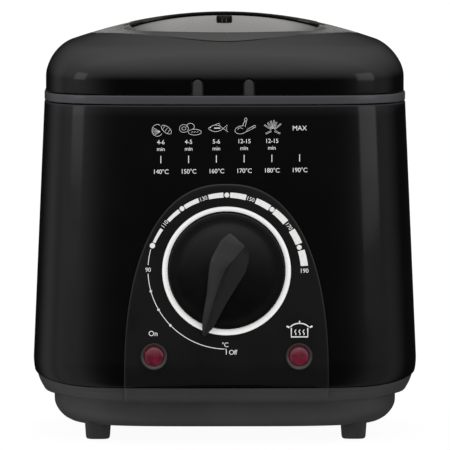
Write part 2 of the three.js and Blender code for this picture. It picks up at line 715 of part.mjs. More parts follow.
const terminalBlock = cut(
  box(-15, 15, 52, 62, PAN_FLOOR_Z + WALL + GAP, PAN_FLOOR_Z + WALL + 13),
  ...[-10, 0, 10].map((x) => box(x - 3, x + 3, 50, 64, PAN_FLOOR_Z + WALL + 4, PAN_FLOOR_Z + WALL + 9)),
);
add("terminal_block", terminalBlock, CERAMIC);

const BLOCK_Z = PAN_FLOOR_Z + WALL + 6.5;
const LEADS = {
  lead_to_thermostat: [
    [-10, 51, BLOCK_Z],
    [-14, 40, 26],
    [-38, 10, 30],
    [-36, -60, 32],
    [-14, -84, 44],
    [-7.6, -84.5, 55.5],
  ],
  lead_to_cutout: [
    [7.6, -84.5, 55.5],
    [14, -84, 44],
    [21, -74, 36],
    [18, -40, 31],
    [6, 20, 31],
    [2, 45, 38],
    [2, 44, 49],
    [4, 20, 56],
    [6.1, 4, 62],
  ],
  lead_to_element: [
    [10, 51, BLOCK_Z],
    [12, 44, 28],
    [12, 46, 40],
    [12, 46, 50],
  ],
};
for (const [name, path] of Object.entries(LEADS)) add(name, rod(path, 1.2, 3 * path.length + 2), COPPER_LEAD);

// ---------------------------------------------------------------- basket
const basketRing = (inset, z) => ring(BASKET_HALF_WIDTH - inset, BASKET_HALF_DEPTH - inset, z);
const MESH_THICK = 1.4;
const basketMesh = solidOf(
  loft([
    basketRing(9, BASKET_FLOOR_Z),
    basketRing(5.5, BASKET_FLOOR_Z + 1.6),
    basketRing(4, BASKET_FLOOR_Z + 6),
    basketRing(0, BASKET_RIM_Z - WIRE_R - GAP),
    basketRing(MESH_THICK, BASKET_RIM_Z - WIRE_R - GAP),
    basketRing(4 + MESH_THICK, BASKET_FLOOR_Z + 6 + MESH_THICK),
    basketRing(5.5 + MESH_THICK, BASKET_FLOOR_Z + 1.6 + MESH_THICK),
    basketRing(9, BASKET_FLOOR_Z + MESH_THICK),
  ]),
);
add("basket_mesh", basketMesh, STEEL);

const rimSection = 6;
const rimRings = Array.from({ length: rimSection }, (_, i) => {
  const angle = (2 * Math.PI * i) / rimSection;
  return basketRing(MESH_THICK / 2 - WIRE_R * Math.cos(angle), BASKET_RIM_Z + WIRE_R * Math.sin(angle));
});
add("basket_rim", solidOf(loft(rimRings, true)), STEEL);

// A plate on the basket's front with two eyes, where the handle's wires plug in.
const BRACKET_FRONT = -(BASKET_HALF_DEPTH + 3);
const WIRE_X = 12.5; // of the handle's two wires
let handleBracket = box(-18, 18, BRACKET_FRONT, BRACKET_FRONT + 1.2, BASKET_RIM_Z - 26, BASKET_RIM_Z - 3);
for (const side of [-1, 1]) {
  const x = side * WIRE_X;
  const padTop = BASKET_RIM_Z - 18;
  const pad = box(x - 4, x + 4, BRACKET_FRONT + 0.5, BRACKET_FRONT + 2.2, padTop - 6, padTop);
  handleBracket = cut(join(handleBracket, pad), acrossFront(2.1, x, BASKET_RIM_Z - 8));
}
function acrossFront(radius, x, z) {
  return solidOf(new THREE.CylinderGeometry(radius, radius, 12, 12).translate(x, BRACKET_FRONT, z));
}
add("handle_bracket", handleBracket, STEEL);

["left", "right"].forEach((name, i) => {
  const x = (i ? 1 : -1) * 28;
  const low = POT_FLOOR_Z + POT_WALL + GAP + WIRE_R + 0.9;
  const high = BASKET_FLOOR_Z - GAP - WIRE_R;
  const bends = [[-40, high], [-38, high], [-32, low], [32, low], [38, high], [40, high]];
  add(`basket_foot_${name}`, rod(bends.map(([y, z]) => [x, y, z]), WIRE_R, 18), STEEL);
});

// ---------------------------------------------------------------- plug-in handle, stowed in the basket
const HANDLE_Z = BASKET_FLOOR_Z + MESH_THICK + 6.3;
const GRIP_FRONT = -46;
const GRIP_REAR = 14;
const gripPlate = (z0, z1, inset) => {
  const half = 15 - inset;
  const shape = new THREE.Shape();
  const [front, rear] = [GRIP_FRONT + inset, GRIP_REAR - inset];
  shape.moveTo(-half + 6, front);
  shape.absarc(half - 6, front + 6, 6, -Math.PI / 2, 0);
  shape.absarc(half - 8, rear - 8, 8, 0, Math.PI / 2);
  shape.absarc(-half + 8, rear - 8, 8, Math.PI / 2, Math.PI);
  shape.absarc(-half + 6, front + 6, 6, Math.PI, 1.5 * Math.PI);
  const settings = { depth: z1 - z0, bevelEnabled: false, curveSegments: 4 };
  return solidOf(new THREE.ExtrudeGeometry(shape, settings).translate(0, 0, z0));
};
const SLOT_HALF = WIRE_R + GAP;
const wireSlots = [-WIRE_X, WIRE_X].map((x) =>
  box(x - SLOT_HALF, x + SLOT_HALF, -20, 60, HANDLE_Z - SLOT_HALF, HANDLE_Z + SLOT_HALF),
);
add("handle_grip_upper", cut(gripPlate(HANDLE_Z + GAP / 2, HANDLE_Z + 6, 0), ...wireSlots), BLACK);
add("handle_grip_lower", cut(gripPlate(HANDLE_Z - 6, HANDLE_Z - GAP / 2, 0), ...wireSlots), BLACK);
["left", "right"].forEach((name, i) => {
  const side = i ? 1 : -1;
  const bends = [[WIRE_X, -18], [WIRE_X, 30], [WIRE_X, 44], [WIRE_X + 1.5, 46.5], [WIRE_X + 8, 47]];
  add(`handle_wire_${name}`, rod(bends.map(([x, y]) => [side * x, y, HANDLE_Z]), WIRE_R, 20, 4), STEEL);
});

// ---------------------------------------------------------------- lid
const ellipse = (rx, ry, y = 0) => outline(rx, ry, 2, y);

// The top panel comes to a soft point at the front and at both sides, and is an ellipse at the back.
const INSERT_RX = 66;
const INSERT_FRONT = 76.8;
const INSERT_REAR = 78;
const insertOutline = (grow) =>
  DIRECTIONS.map((angle) => {
    const back = Math.min(1, Math.max(0, 2.5 * Math.sin(angle)));
    const share = back * back * (3 - 2 * back);
    const reach = INSERT_FRONT + (INSERT_REAR - INSERT_FRONT) * share;
    const r = superRadius(angle, INSERT_RX + grow, reach + grow, 1.75 + 0.25 * share);
    return [r * Math.cos(angle), r * Math.sin(angle)];
  });
const lidRing = (share, inset, z) => {
  // share 0 is the opening for the top panel, 1 the outline of the skirt
  const outer = outline(HALF_WIDTH - LID_INSET - inset, HALF_DEPTH - LID_INSET - inset);
  const opening = insertOutline(0.15);
  return outer.map(([x, y], i) => {
    const px = opening[i][0] + share * (x - opening[i][0]);
    const py = opening[i][1] + share * (y - opening[i][1]);
    return new THREE.Vector3(px, py, z ?? lidTop(px, py, inset));
  });
};
const SKIRT_Z = LID_Z + 0.4;
const lidShares = [0.96, 0.86, 0.7, 0.35, 0];
let lidShell = solidOf(
  loft(
    [
      lidRing(1, 0, SKIRT_Z),
      lidRing(1, 0, SHOULDER_Z),
      ...lidShares.map((share) => lidRing(share, 0)),
      ...[...lidShares].reverse().map((share) => lidRing(share, WALL)),
      lidRing(1, WALL, SHOULDER_Z),
      lidRing(1, WALL, SKIRT_Z),
    ],
    true,
  ),
);
for (const side of [-1, 1]) {
  const x = TAB_MIDDLE + side * TAB_X;
  lidShell = cut(lidShell, tabSolid(x, TAB_HALF + 0.45, TAB_TOP_Z + 0.6, LID_FRONT - 6, LID_FRONT + 6));
}
add("lid_shell", lidShell, BLACK);

// The silver-grey top panel: a frame round the sunken window in front and the filter chamber behind.
const WINDOW_Y = -30;
const WINDOW_RX = 50;
const WINDOW_RY = 33;
const WINDOW_Z = 195;
const CHAMBER_FLOOR_Z = 187.5;
const FILTER_SLOTS = 4;
const SLOT_PITCH = 10;
const COVER_Y = 26;
const COVER_RX = 48;
const COVER_RY = 42;
const COVER_THICK = 2.4;
const HINGE_Y = 63; // the cover's straight rear edge
const windowOval = (grow) => ellipse(WINDOW_RX + grow, WINDOW_RY + grow, WINDOW_Y);
const coverOval = (grow) => outline(COVER_RX + grow, COVER_RY + grow, 2.6, COVER_Y);
const aheadOfHinge = (gap) => box(-90, 90, -120, HINGE_Y + gap, 150, 240);
const HORN = 4; // width of the cover's two arms, which run round the back of the window to its sides
const HORN_FRONT = WINDOW_Y + 12;
const coverSlab = (grow, top, bottom) =>
  join(
    lidSlab(coverOval(grow), top, bottom).intersect(aheadOfHinge(grow + 0.2)),
    lidSlab(windowOval(HORN + grow), top, bottom)
      .intersect(box(-90, 90, HORN_FRONT - grow, 40, 150, 240)),
  );
const CHAMBER = { x: 33, y0: 12, y1: 56 };
const chamber = (grow, z0, z1) =>
  box(-CHAMBER.x - grow, CHAMBER.x + grow, CHAMBER.y0 - grow, CHAMBER.y1 + grow, z0, z1);
const underPanel = lidSlab(insertOutline(0), -0.5, -30);
const topPanel = cut(
  join(
    lidSlab(insertOutline(-GAP), 0, -4.6),
    lidSlab(insertOutline(2), -4.4, -5.8),
    prism(windowOval(2), CHAMBER_FLOOR_Z, 230).intersect(underPanel),
    chamber(1.6, CHAMBER_FLOOR_Z, 230).intersect(underPanel),
  ),
  prism(windowOval(0), WINDOW_Z, 230),
  prism(windowOval(-3), 170, 230),
  coverSlab(0.3, 8, -COVER_THICK - GAP),
  chamber(0, 170, 230),
);
add("lid_top_panel", topPanel, SILVER);
add("viewing_window", prism(windowOval(-GAP), WINDOW_Z + GAP, WINDOW_Z + GAP + 2), CLEAR);

// The liner is a shallow pan: a flat roof over the food and a wall down to the seal.
const LINER_Z = 186;
const LINER_WALL = 1.2;
const LINER_INSET = SPIGOT_INSET + 2 + FIT;
const LINER_FOOT_Z = 171;
const LINER_ROOF_INSET = LINER_INSET + 30;
const linerSection = (inset) => [
  [LINER_INSET + inset, LINER_FOOT_Z],
  [LINER_INSET + inset, 176],
  [LINER_INSET + 11 + inset, LINER_Z + LINER_WALL - inset],
];
let liner = join(
  body([
    ...linerSection(0),
    [LINER_ROOF_INSET, LINER_Z + LINER_WALL],
    [LINER_ROOF_INSET, LINER_Z],
    ...linerSection(LINER_WALL).reverse(),
  ]),
  prism(outline(HALF_WIDTH - LINER_INSET - 29, HALF_DEPTH - LINER_INSET - 29), LINER_Z, LINER_Z + LINER_WALL),
);
liner = cut(liner, prism(windowOval(-3), 160, 230));
for (let i = 0; i < FILTER_SLOTS; i++) {
  const y = CHAMBER.y0 + 7 + i * SLOT_PITCH;
  liner = cut(liner, box(-30, 30, y - 1.4, y + 1.4, 160, 230));
}
add("lid_liner", liner, ALUMINIUM);

const SEAL_Z = LID_Z + GAP;
add(
  "lid_seal",
  body([
    [LINER_INSET, SEAL_Z],
    [LINER_INSET, LINER_FOOT_Z - GAP],
    [LINER_INSET + 2.4, LINER_FOOT_Z - GAP],
    [LINER_INSET + 2.4, SEAL_Z],
  ]),
  SILICONE,
);
const FILTER_Z = LINER_Z + LINER_WALL + GAP;
add("grease_filter", chamber(-FIT, FILTER_Z, FILTER_Z + 2.6), FELT);
add("carbon_filter", chamber(-FIT, FILTER_Z + 2.9, FILTER_Z + 5.6), CARBON);

// ---------------------------------------------------------------- filter cover, hinged along its rear edge
let filterCover = cut(coverSlab(-0.2, GAP, -COVER_THICK), prism(windowOval(-GAP), 170, 230));
for (let i = 0; i < FILTER_SLOTS; i++) {
  const y = CHAMBER.y0 + 7 + i * SLOT_PITCH;
  filterCover = cut(filterCover, box(-26, 26, y - 1.2, y + 1.2, 170, 230));
}
add("filter_cover", filterCover, BLACK);
const CATCH_HALF = 3.9;
const CATCH_Y = WINDOW_Y + WINDOW_RY;
add("filter_catch", box(-CATCH_HALF, CATCH_HALF, CATCH_Y - 3, CATCH_Y - 0.9, 199.8, 206.2), BLACK);

export default fryer;
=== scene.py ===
"""The looks of the deep fryer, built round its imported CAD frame.

Lengths are millimetres in the body's own frame: x to the right, y to the back from the body's middle,
z up from the worktop. The mesh makers turn them into metres in the row frame.
"""

import math

import bmesh
import bpy
from mathutils import Matrix, Vector

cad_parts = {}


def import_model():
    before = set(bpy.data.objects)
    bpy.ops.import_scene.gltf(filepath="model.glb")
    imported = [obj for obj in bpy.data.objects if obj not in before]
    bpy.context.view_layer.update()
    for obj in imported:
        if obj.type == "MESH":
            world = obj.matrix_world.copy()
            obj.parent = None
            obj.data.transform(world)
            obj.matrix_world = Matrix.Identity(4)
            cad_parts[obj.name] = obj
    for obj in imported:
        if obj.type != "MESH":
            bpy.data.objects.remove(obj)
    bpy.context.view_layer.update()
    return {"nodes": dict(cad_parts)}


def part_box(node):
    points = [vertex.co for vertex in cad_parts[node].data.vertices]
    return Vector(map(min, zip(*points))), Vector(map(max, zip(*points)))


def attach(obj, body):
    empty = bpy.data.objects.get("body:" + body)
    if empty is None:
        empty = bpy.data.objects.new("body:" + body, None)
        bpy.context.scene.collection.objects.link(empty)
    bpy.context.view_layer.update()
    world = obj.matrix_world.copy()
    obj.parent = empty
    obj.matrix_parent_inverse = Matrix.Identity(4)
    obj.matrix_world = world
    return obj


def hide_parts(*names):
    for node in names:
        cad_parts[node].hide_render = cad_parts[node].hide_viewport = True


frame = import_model()
scene = bpy.context.scene

MM = 0.001
CENTRE_Y = sum(end.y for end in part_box("housing")) / 2 / MM
SIDES = (("left", -1), ("right", 1))


class Extent:
    """The box round a CAD node: its two ends, its middle and its half size."""

    def __init__(self, node):
        low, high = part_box(node)
        shift = Vector((0.0, CENTRE_Y, 0.0))
        self.low = low / MM - shift
        self.high = high / MM - shift
        self.middle = (self.low + self.high) / 2
        self.half = (self.high - self.low) / 2


# ---- sizes, from the frame
BODY = Extent("housing")
COLLAR = Extent("collar")
LID = Extent("lid_shell")
LINER = Extent("lid_liner")
INSERT = Extent("lid_top_panel")
WINDOW = Extent("viewing_window")
PANEL_BOX = Extent("control_panel")
BEZEL = Extent("dial_bezel")
LENS = Extent("lamp_lens_ready")
POT = Extent("oil_pot")
BASKET = Extent("basket_mesh")

HALF_WIDTH = BODY.half.x
HALF_DEPTH = BODY.half.y
POWER = 4.0  # of the superellipse that the body has from above
WALL = 2.4

BELLY_Z = 38.0  # where the body is widest
BAND_RX = 11.0  # how far the lower band curves in, and over what height
BAND_RZ = 19.0
PAN_INSET = 10.3
PAN_FLOOR_Z = Extent("base_tray").low.z
PAN_RX = 9.2
PAN_RZ = 9.5
PAN_POWER = 1.64
SEAM_Z = 27.2  # the seam between housing and tray
SEAM_RISE = 4.5

RING_LOW_Z = BODY.high.z + 0.3
RING_HIGH_Z = LID.low.z - 0.4
TOP_INSET = HALF_WIDTH - COLLAR.half.x
LID_INSET = HALF_WIDTH - LID.half.x
LID_A = HALF_WIDTH - LID_INSET
LID_B = HALF_DEPTH - LID_INSET
CREST_Z = 207.8
SHOULDER_Z = 176.8
SHOULDER_START = 0.85
SHOULDER_DROP = 12.6

LEAN = math.atan2(TOP_INSET, RING_LOW_Z - BELLY_Z)
PROUD = 1.6  # how far the control panel stands off the housing
KNOB_Z = BEZEL.middle.z
BEZEL_R = BEZEL.half.x
LAMP_X = LENS.middle.x
LAMP_Z = LENS.middle.z
LAMP_R = LENS.half.x
PANEL_HALF = PANEL_BOX.half.x
PANEL_TOP_Z = PANEL_BOX.high.z
POINTER_REST = math.radians(-17.7)

WINDOW_Y = WINDOW.middle.y
WINDOW_RX = WINDOW.half.x
WINDOW_RY = WINDOW.half.y
COVER_RX = 48.0
COVER_RY = 42.0
COVER_Y = 26.0
COVER_POWER = 2.6
HINGE_Y = Extent("filter_cover").high.y
HORN = 4.0  # width of the cover's arms beside the window
HORN_FRONT = 12.0
INSERT_RX = INSERT.half.x - 2
INSERT_FRONT = -INSERT.low.y - 2
INSERT_REAR = INSERT.high.y - 2


# ---- numbers and outlines
def clamp(value):
    return min(1.0, max(0.0, value))


def smooth(value):
    value = clamp(value)
    return value * value * (3 - 2 * value)


def mix(start, end, share):
    return start + (end - start) * share


def spread(start, end, steps):
    """Evenly spaced numbers, from start to end with both."""
    return [mix(start, end, i / steps) for i in range(steps + 1)]


def angles(count):
    return [2 * math.pi * i / count for i in range(count)]


def polar(radius, angle, x=0.0, y=0.0):
    return x + radius * math.cos(angle), y + radius * math.sin(angle)


def blend(inner, outer, share):
    """The outline a share of the way from one outline to another."""
    return [(mix(a, c, share), mix(b, d, share)) for (a, b), (c, d) in zip(inner, outer)]


def rotated(points, turn, x, y):
    """Points turned by an angle, then moved to (x, y)."""
    c, s = math.cos(turn), math.sin(turn)
    return [(x + c * a - s * b, y + s * a + c * b) for a, b in points]


def neighbours(points, i, closed):
    """The points before and after a point on a path; an open path's ends stand in for what is missing."""
    before = points[i - 1] if (i or closed) else points[i]
    after = points[(i + 1) % len(points)] if (i < len(points) - 1 or closed) else points[i]
    return before, after


def super_radius(angle, a, b, power):
    across = abs(math.cos(angle) / a) ** power
    along = abs(math.sin(angle) / b) ** power
    return (across + along) ** (-1 / power)


def outline(a, b, power=POWER, count=192, y=0.0):
    """Points of a superellipse, evenly spread along its length."""
    fine = [polar(super_radius(angle, a, b, power), angle, 0.0, y) for angle in angles(count * 8)]
    return resample(fine, count)


def resample(points, count):
    closed = points + [points[0]]
    lengths = [0.0]
    for p, q in zip(closed, closed[1:]):
        lengths.append(lengths[-1] + math.dist(p, q))
    out = []
    j = 0
    for i in range(count):
        goal = lengths[-1] * i / count
        while lengths[j + 1] < goal:
            j += 1
        share = (goal - lengths[j]) / (lengths[j + 1] - lengths[j])
        out.append(tuple(mix(p, q, share) for p, q in zip(closed[j], closed[j + 1])))
    return out


def circle(radius, x=0.0, y=0.0, count=40):
    return [polar(radius, angle, x, y) for angle in angles(count)]


def stadium(half_width, half_length, steps=8):
    """A slot with round ends."""
    ends = ((0.0, half_length - half_width), (math.pi, half_width - half_length))
    return [
        polar(half_width, start + math.pi * k / steps, 0.0, y) for start, y in ends for k in range(steps + 1)
    ]


def arched(half, low, middle, steps):
    """A tab with a round top."""
    top = [(-half * math.cos(a), middle + half * math.sin(a)) for a in spread(0.0, math.pi, steps)]
    return [(-half, low), *top, (half, low)]


def corner(p, c, q, most, steps):
    """Points of a rounded corner at c."""
    a = c + (p - c).normalized() * most
    b = c + (q - c).normalized() * most
    return [a.lerp(c, t).lerp(c.lerp(b, t), t) for t in spread(0.0, 1.0, steps)]


def rounded(points, radius, steps=4):
    """A closed profile of 2-D points with every corner rounded."""
    out = []
    corners = [Vector(point) for point in points]
    for p, c, q in zip(corners[-1:] + corners, corners, corners[1:] + corners[:1]):
        most = min(radius, (p - c).length * 0.45, (q - c).length * 0.45)
        out += [tuple(point) for point in corner(p, c, q, most, steps)]
    return out


def eased(points, radius):
    """An open path with its corners rounded."""
    path = [Vector(point) for point in points]
    out = [path[0]]
    for p, c, q in zip(path, path[1:], path[2:]):
        most = min(radius, (p - c).length * 0.48, (q - c).length * 0.48)
        out += corner(p, c, q, most, 6)
    return out + [path[-1]]


# ---- surfaces of the body
def taper_inset(z):
    return TOP_INSET * max(0.0, z - BELLY_Z) / (RING_LOW_Z - BELLY_Z)


def band_inset(z):
    if z >= BELLY_Z:
        return taper_inset(z)
    low = clamp((BELLY_Z - z) / BAND_RZ)
    return BAND_RX * (1 - math.sqrt(1 - low * low))


def pan_inset(z):
    low = clamp((PAN_FLOOR_Z + PAN_RZ - z) / PAN_RZ)
    return PAN_INSET + PAN_RX * (1 - (1 - low**PAN_POWER) ** (1 / PAN_POWER))


def seam_z(x):
    return SEAM_Z + SEAM_RISE * max(0.0, (abs(x) - 60) / 35) ** 3


def front_y(x, z, proud=0.0):
    """The housing's front face at x and z, moved out by proud."""
    inset = band_inset(z) - proud
    a, b = HALF_WIDTH - inset, HALF_DEPTH - inset
    return -b * max(0.0, 1 - abs(x / a) ** POWER) ** (1 / POWER)


def on_front(x, z):
    """Local frame on the panel: local Z out of it, local Y up it."""
    place_at = Matrix.Translation((x, taper_inset(z) - HALF_DEPTH - PROUD, z))
    return place_at @ Matrix.Rotation(math.pi / 2 - LEAN, 4, "X")


def lid_top(x, y, inset=0.0):
    across = abs(x) / (LID_A - inset)
    along = abs(y) / (LID_B - inset)
    share = min(1.0, (across**POWER + along**POWER) ** (1 / POWER))
    edge = share * share
    dome = (1 - edge) * (across * across + along * along) + edge * edge
    u = max(0.0, (share - SHOULDER_START) / (1 - SHOULDER_START))
    drop = CREST_Z - SHOULDER_Z - SHOULDER_DROP
    return CREST_Z - inset - drop * dome - SHOULDER_DROP * (1 - math.sqrt(1 - u * u))


def on_lid(points, drop=0.0, inset=0.0):
    """An outline laid on the lid's top, or a little under it."""
    return [(x, y, lid_top(x, y, inset) - drop) for x, y in points]


# ---- mesh makers
def world(point):
    x, y, z = point
    return (x * MM, (y + CENTRE_Y) * MM, z * MM)


def linked(name, data):
    obj = bpy.data.objects.new(name, data)
    scene.collection.objects.link(obj)
    return obj


def new_object(name, verts, faces, material, sharp=40):
    mesh = bpy.data.meshes.new(name)
    mesh.from_pydata([world(v) for v in verts], [], faces)
    obj = linked(name, mesh)
    bm = bmesh.new()
    bm.from_mesh(mesh)
    bmesh.ops.remove_doubles(bm, verts=bm.verts, dist=1e-7)
    bmesh.ops.recalc_face_normals(bm, faces=bm.faces)
    bm.to_mesh(mesh)
    bm.free()
    finish_mesh(obj, material, sharp)
    return obj


def finish_mesh(obj, material, sharp):
    mesh = obj.data
    mesh.materials.clear()
    mesh.materials.append(material)
    mesh.polygons.foreach_set("use_smooth", [True] * len(mesh.polygons))
    mesh.set_sharp_from_angle(angle=math.radians(sharp))
    mesh.update()


def place(obj, body, *nodes, slot=None):
    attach(obj, body)
    if nodes:
        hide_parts(*nodes)
    return obj


def ring_faces(rings, around, loop=False):
    faces = []
    for i in range(rings if loop else rings - 1):
        near = i * around
        far = (i + 1) % rings * around
        for j in range(around):
            k = (j + 1) % around
            faces.append((near + j, near + k, far + k, far + j))
    return faces


def loft(name, rings, material, loop=False, caps=(True, True), sharp=40):
    """Joins closed rings of points; the ends are closed with a flat fan where asked."""
    around = len(rings[0])
    verts = [p for ring in rings for p in ring]
    faces = ring_faces(len(rings), around, loop)
    for use, first in zip(caps, (0, (len(rings) - 1) * around)):
        if use and not loop:
            verts.append(tuple(sum(p[i] for p in verts[first : first + around]) / around for i in range(3)))
            centre = len(verts) - 1
            faces += [(centre, first + j, first + (j + 1) % around) for j in range(around)]
    return new_object(name, verts, faces, material, sharp)


def flat_ring(points, z):
    return [(x, y, z) for x, y in points]


def body_ring(inset, z, count):
    return flat_ring(outline(HALF_WIDTH - inset, HALF_DEPTH - inset, count=count), z)


def turned(name, profile, matrix, material, sides=96, sharp=40):
    """A closed [radius, height] profile turned round local Z, then placed by a matrix."""
    rings = []
    for r, h in profile:
        rings.append([tuple(matrix @ Vector((*polar(r, angle), h))) for angle in angles(sides)])
    hollow = profile[0][0] > 0 and profile[-1][0] > 0
    return loft(name, rings, material, loop=hollow, caps=(False, False), sharp=sharp)


def tube_parts(path, radius, sides, closed):
    """Vertices and faces of a round tube along a path."""
    points = [Vector(p) for p in path]
    n = len(points)
    verts = []
    normal = None
    for i, p in enumerate(points):
        before, after = neighbours(points, i, closed)
        tangent = (after - before).normalized()
        if normal is None:
            helper = Vector((0, 0, 1)) if abs(tangent.z) < 0.8 else Vector((1, 0, 0))
            normal = tangent.cross(helper).normalized()
        normal = (normal - tangent * normal.dot(tangent)).normalized()
        other = tangent.cross(normal)
        for angle in angles(sides):
            verts.append(tuple(p + radius * (math.cos(angle) * normal + math.sin(angle) * other)))
    faces = ring_faces(n, sides, closed)
    if not closed:
        faces.append(tuple(range(sides - 1, -1, -1)))
        faces.append(tuple((n - 1) * sides + k for k in range(sides)))
    return verts, faces


def tubes(name, paths, radius, material, sides, closed=False):
    verts, faces = [], []
    for path in paths:
        tube_verts, tube_faces = tube_parts(path, radius, sides, closed)
        faces += [tuple(len(verts) + i for i in face) for face in tube_faces]
        verts += tube_verts
    return new_object(name, verts, faces, material, sharp=60)


def evaluated(obj):
    graph = bpy.context.evaluated_depsgraph_get()
    return bpy.data.meshes.new_from_object(obj.evaluated_get(graph))


def apply_modifiers(obj):
    mesh = evaluated(obj)
    obj.modifiers.clear()
    old = obj.data
    obj.data = mesh
    mesh.name = old.name
    bpy.data.meshes.remove(old)


def cut_with(obj, cutters, sharp):
    for cutter in cutters:
        modifier = obj.modifiers.new("cut", "BOOLEAN")
        modifier.operation = "DIFFERENCE"
        modifier.solver = "EXACT"
        modifier.object = cutter
    apply_modifiers(obj)
    for cutter in cutters:
        bpy.data.objects.remove(cutter)
    finish_mesh(obj, obj.data.materials[0], sharp)


def prism(name, points, low, high, material):
    return loft(name, [flat_ring(points, low), flat_ring(points, high)], material)


# ---- materials
class Nodes:
    """Adds shader nodes to a tree; an input takes a value or another node's output."""

    def __init__(self, tree):
        self.tree = tree

    def feed(self, socket, value):
        if isinstance(value, bpy.types.NodeSocket):
            self.tree.links.new(value, socket)
        else:
            socket.default_value = value

    def add(self, kind, inputs=None, **settings):
        node = self.tree.nodes.new("ShaderNode" + kind)
        for key, value in settings.items():
            setattr(node, key, value)
        for socket, value in (inputs or {}).items():
            self.feed(node.inputs[socket], value)
        return node

    def calc(self, operation, a, b=0.0):
        return self.add("Math", {0: a, 1: b}, operation=operation).outputs[0]

    def ramp(self, value, low, high, start, end, kind="SMOOTHSTEP"):
        """Carries a value from low..high over to start..end."""
        inputs = {"Value": value, "From Min": low, "From Max": high, "To Min": start, "To Max": end}
        return self.add("MapRange", inputs, interpolation_type=kind).outputs["Result"]


class Surface(Nodes):
    """A Principled material with a few procedural layers, all in object space."""

    def __init__(self, name, color, roughness, metallic=0.0):
        self.material = bpy.data.materials.new(name)
        self.material.use_nodes = True
        super().__init__(self.material.node_tree)
        self.shader = self.tree.nodes["Principled BSDF"]
        self.set("Base Color", (*color, 1.0))
        self.set("Roughness", roughness)
        self.set("Metallic", metallic)
        self.coordinates = self.add("TexCoord").outputs["Object"]
        self.material.diffuse_color = (*color, 1.0)

    def set(self, socket, value):
        self.feed(self.shader.inputs[socket], value)

    def noise(self, size, detail, roughness=0.5, stretch=(1, 1, 1)):
        vector = self.add("Mapping", {"Scale": stretch, "Vector": self.coordinates}).outputs["Vector"]
        inputs = {"Scale": 1 / (size * MM), "Detail": detail, "Roughness": roughness, "Vector": vector}
        return self.add("TexNoise", inputs).outputs["Fac"]

    def outwards(self, low, high):
        """0 near the object's middle, rising to 1 towards its left and right sides."""
        parts = self.add("SeparateXYZ", {0: self.coordinates})
        side = self.calc("ABSOLUTE", parts.outputs["X"])
        return self.ramp(side, low * MM, high * MM, 0.0, 1.0)

    def vary_roughness(self, source, low, high):
        self.set("Roughness", self.ramp(source, 0.35, 0.65, low, high, "LINEAR"))

    def vary_color(self, source, low, high, fade=(0.35, 0.65)):
        node = self.add("ValToRGB", {"Fac": source})
        for element, position, color in zip(node.color_ramp.elements, fade, (low, high)):
            element.position = position
            element.color = (*color, 1)
        self.set("Base Color", node.outputs["Color"])

    def bump(self, source, height):
        inputs = {"Distance": height * MM, "Strength": 1.0, "Height": source}
        self.set("Normal", self.add("Bump", inputs).outputs["Normal"])


def surface(name, color, roughness, metallic=0.0, tint=None, rough=None, relief=None, extra=None):
    """A material with up to three layers; each layer starts with the noise that it follows."""
    s = Surface(name, color, roughness, metallic)
    for layer, change in ((tint, s.vary_color), (rough, s.vary_roughness), (relief, s.bump)):
        if layer:
            change(s.noise(*layer[0]), *layer[1:])
    for socket, value in (extra or {}).items():
        s.set(socket, value)
    return s.material


SPARKLE = (0.18, 2, 0.8)  # noise of the metal flakes in paint
SPECKS = (0.35, 2, 0.8)

BLACK = surface(
    "gloss_black", (0.001, 0.001, 0.0011), 0.12, rough=((28, 4), 0.09, 0.15), relief=((14, 2), 0.012)
)
PANEL = surface(
    "panel_black", (0.004, 0.004, 0.0042), 0.3, rough=((20, 4), 0.26, 0.34), relief=((0.5, 3), 0.006)
)
KNOB = surface(
    "knob_black", (0.0012, 0.0012, 0.0013), 0.3, rough=((9, 4), 0.27, 0.34), relief=((0.4, 3), 0.01)
)
GRIP = surface(
    "grip_black", (0.008, 0.008, 0.0083), 0.4, rough=((9, 4), 0.37, 0.45), relief=((0.4, 3), 0.012)
)
GREY = surface(
    "matt_grey", (0.032, 0.032, 0.034), 0.38, tint=((35, 4), (0.03, 0.03, 0.032), (0.035, 0.035, 0.037)),
    rough=((12, 4), 0.34, 0.44), relief=((0.45, 4), 0.02)
)
TRIM = surface("trim_grey", (0.05, 0.05, 0.054), 0.24, rough=((10, 4), 0.2, 0.28), relief=((0.4, 3), 0.012))
SILVER = surface(
    "silver_paint", (0.26, 0.257, 0.25), 0.26, 0.92,
    tint=(SPARKLE, (0.235, 0.232, 0.226), (0.285, 0.282, 0.275), (0.3, 0.7)), rough=((15, 4), 0.23, 0.3),
    relief=((0.3, 3), 0.006)
)
BRIGHT = surface(
    "bright_ring", (0.95, 0.95, 0.94), 0.34, rough=((6, 4), 0.26, 0.36), relief=((0.6, 3), 0.006)
)
LAMP_RIM = surface(
    "lamp_rim", (0.055, 0.05, 0.049), 0.3, 0.5, rough=((3, 3), 0.22, 0.36), relief=((0.5, 3), 0.005)
)
RED = surface(
    "red_lens", (0.085, 0.006, 0.016), 0.16, tint=((2.6, 3), (0.06, 0.004, 0.011), (0.125, 0.009, 0.024)),
    relief=((1.6, 2), 0.07),
    extra={
        "Coat Weight": 0.6, "Coat Roughness": 0.06,
        "Emission Color": (0.5, 0.02, 0.03, 1), "Emission Strength": 0.02,
    }
)
PRINT = surface(
    "print_white", (0.8, 0.8, 0.79), 0.5, tint=((0.9, 3), (0.74, 0.74, 0.73), (0.84, 0.84, 0.83)),
    relief=((0.3, 2), 0.004)
)
STEEL = surface(
    "steel", (0.55, 0.56, 0.57), 0.28, 1.0, rough=((2, 4, 0.5, (1, 6, 6)), 0.2, 0.38),
    relief=((0.3, 3), 0.005)
)
HEATED = surface(
    "heated_steel", (0.14, 0.13, 0.13), 0.45, 1.0, tint=((9, 4), (0.1, 0.09, 0.09), (0.24, 0.2, 0.16)),
    relief=((0.5, 4), 0.02)
)
